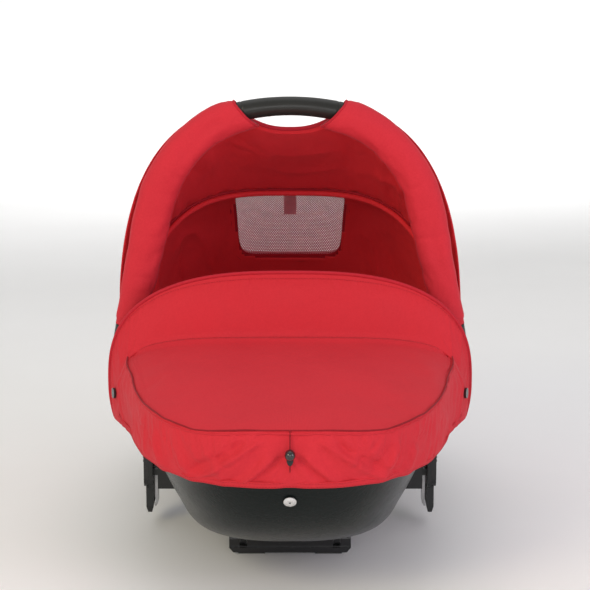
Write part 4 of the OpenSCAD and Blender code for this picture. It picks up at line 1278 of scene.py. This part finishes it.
def mattress():
    lo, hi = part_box("mattress")
    z0, z1 = lo.z * 1000, hi.z * 1000
    t = z1 - z0
    # half width, half length and height of each level, from the underside round to the quilted top
    rows = [(98, 256, 0), (103, 263, 1), (112, 276, 0.18 * t), (121, 291, 0.42 * t), (128, 303, 0.66 * t),
            (131, 308, 0.84 * t), (129.5, 306, 0.93 * t), (124, 299, 0.985 * t), (112, 284, t + 0.8),
            (92, 250, t + 1.2), (66, 200, t + 1.0), (36, 130, t + 0.8), (10, 50, t + 0.8)]
    n = 160
    rings = []
    table = np.array(rows, float)
    at = np.linspace(0, len(rows) - 1, 49)
    dense = np.stack([np.interp(at, np.arange(len(rows)), table[:, i]) for i in range(3)], -1)
    for _ in range(3):
        dense[1:-1] = 0.25 * dense[:-2] + 0.5 * dense[1:-1] + 0.25 * dense[2:]
    for a, b, dz in dense:
        ang = even_angles(n, a, b, 3.4)
        x, y = plan(ang, a, b, 3.4)
        quilt = 0.0
        if dz > 0.98 * t:
            quilt = -1.6 * (np.abs(np.sin(y / 46)) < 0.12) + 0.5 * noise2(x / 40, y / 40, 81)
        rings.append(np.stack([x, y, z0 + dz + quilt * np.ones(n)], -1))
    o = loft("mattress_pad", np.stack(rings), [GREY])
    pins = [1.0 if v.co.z < (z0 + 4) * MM else 0.0 for v in o.data.vertices]
    cloth(o, 12, pins, pressure=2.5, gravity=0.0, cap=2.5, stiff=18, bend=2)
    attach(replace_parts(o, "mattress"), "tub")
    ang = even_angles(200, 131, 308, 3.4)
    x, y = plan(np.append(ang, ang[0] + 360), 131, 308, 3.4)
    line = np.stack([x, y, np.full_like(x, z0 + 0.84 * t)], -1)
    pip = tube("mattress_piping", line, 1.8, [PIPING], sides=8)
    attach(pip, "tub")


mattress()


def belly_pad(side):
    path = np.array([[156, 141], [140, 134], [112, 125], [80, 119], [50, 117.5], [26, 118]], float)
    s = lengths_along(path)
    q = np.linspace(0, s[-1], 44)
    x = np.interp(q, s, path[:, 0])
    z = np.interp(q, s, path[:, 1])
    for _ in range(6):
        z[1:-1] = (z[:-2] + z[2:] + 2 * z[1:-1]) / 4
    half = 27.5 - 8 * smooth(20, 0, q)
    a = np.arange(28) * 2 * np.pi / 28
    rings = []
    for i in range(len(q)):
        end = min(1.0, 0.35 + 0.65 * smooth(0, 9, q[i])) * min(1.0, 0.35 + 0.65 * smooth(0, 9, q[-1] - q[i]))
        quilt = 1 - 0.22 * (abs((q[i] % 30) - 15) < 1.6)
        y = -20 + half[i] * spow(np.cos(a), 0.6)
        dz = 3.4 * end * quilt * spow(np.sin(a), 0.9)
        rings.append(np.stack([np.full(28, x[i]), y, z[i] + 3.5 + dz], -1))
    rings = np.stack(rings)
    if side < 0:
        rings = (rings * np.array([-1, 1, 1]))[:, ::-1]
    o = loft("belly_wing_" + side_name(side), rings, [RED_PAD])
    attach(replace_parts(o, "belly_pad_" + side_name(side)), "tub")


belly_pad(-1)
belly_pad(1)
lo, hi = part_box("crotch_strap")
ys = np.linspace(lo.y, hi.y, 30) * 1000
strap_pts = np.stack([np.zeros(30), ys, np.full(30, (lo.z + hi.z) * 500)], -1)
cr = ribbon("crotch_web", strap_pts, (1, 0, 0), 28.0, 2.2, [WEB_BLACK])
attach(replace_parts(cr, "crotch_strap"), "tub")


# ---------------------------------------------------------------- knob
KNOB_R = 5.7
KNOB_Z = 194.0
KNOB_BACK = 4.6
KNOB_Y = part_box("apron_toggle")[0].y * 1000 + KNOB_BACK


def knob():
    """A glossy ball, flat where its neck joins the keeper behind it."""
    turn = np.radians(np.linspace(0, 180, 25))
    profile = [(KNOB_R * math.sin(a), -KNOB_R * math.cos(a)) for a in turn if -KNOB_R * math.cos(a) < 3.6]
    profile += [(3.0, 3.9), (3.0, 4.5)]
    a = np.arange(40) * 2 * np.pi / 40
    rings = [np.stack([r * np.cos(a), np.full(40, KNOB_Y + y), KNOB_Z + r * np.sin(a)], -1)
             for r, y in profile[1:]]
    ball = loft("apron_knob", np.stack(rings), [KNOB])
    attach(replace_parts(ball, "apron_toggle"), "tub")


def keeper():
    """The teardrop plate behind the knob."""
    turn = np.linspace(0, 360, 64, endpoint=False)
    r = 5.4 + 7.4 * np.maximum(0.0, -sind(turn)) ** 9
    back = KNOB_Y + KNOB_BACK
    outline = ((0.2, -1.5), (0.82, -1.5), (0.95, -1.1), (1.0, -0.4), (1.0, 0.0), (0.9, 0.1), (0.2, 0.1))
    plate = [np.stack([r * cosd(turn) * f, np.full(64, back + y), KNOB_Z + r * sind(turn) * f], -1)
             for f, y in outline]
    o = loft("apron_keeper", np.stack(plate), [GLOSS])
    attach(o, "tub")


knob()
keeper()


# ---------------------------------------------------------------- CAD pieces kept: edges and materials
def sides(*stems):
    return [stem + end for stem in stems for end in ("_left", "_right")]


def feet(*stems):
    return [stem + end for stem in stems for end in ("_front", "_rear")]


# material, bevel width in millimetres, nodes
KEPT = [
    (TRIM, 0.8, sides("hub_base") + feet("foot_bracket")),
    (TRIM, 2.0, sides("dock_bracket")),
    (TRIM, 1.4, sides("dock_tongue")),
    (TRIM, 1.0, sides("handle_end")),
    (GLOSS, 0, ["vent_grommets", "flap_snaps"]),
    (GLOSS, 2.0, ["buckle_body"]),
    (GLOSS, 0.7, sides("hub_cap")),
    (GLOSS, 1.2, sides("dock_cover")),
    (GLOSS, 1.6, feet("foot_bar")),
    (RUBBER, 0.5, feet("foot_pads")),
    (BAR, 0, ["hood_bow"]),
    (STEEL, 0, sides("pivot_pin", "lock_spring", "dock_latch") + feet("foot_pin") + ["dock_screws"]),
    (ALU, 0.25, ["end_rivets"]),
    (BUTTON, 0.6, sides("lock_button", "dock_release")),
    (RED_BUTTON, 1.2, ["buckle_button"]),
    (BOARD, 0, ["base_board"]),
]


def finish_kept(o, mat, bevel):
    for slot in o.material_slots:
        slot.link = "OBJECT"
        slot.material = mat
    if not o.material_slots:
        o.data.materials.append(mat)
    if bevel:
        b = o.modifiers.new("edges", "BEVEL")
        b.width = bevel * MM
        b.segments = 3
        b.limit_method = "ANGLE"
        b.angle_limit = math.radians(35)
        b.harden_normals = False


for mat, bevel, names in KEPT:
    for nm in names:
        finish_kept(frame["nodes"][nm], mat, bevel)


def face_outward(o):
    """Turns a closed mesh whose faces all point inwards."""
    bm = bmesh.new()
    bm.from_mesh(o.data)
    if all(len(e.link_faces) == 2 for e in bm.edges) and bm.calc_volume(signed=True) < 0:
        bmesh.ops.reverse_faces(bm, faces=bm.faces[:])
        bm.to_mesh(o.data)
    bm.free()


cad_nodes = set(frame["nodes"].values())
for o in list(bpy.data.objects):
    if o.type == "MESH" and o not in cad_nodes and o is not floor:
        face_outward(o)
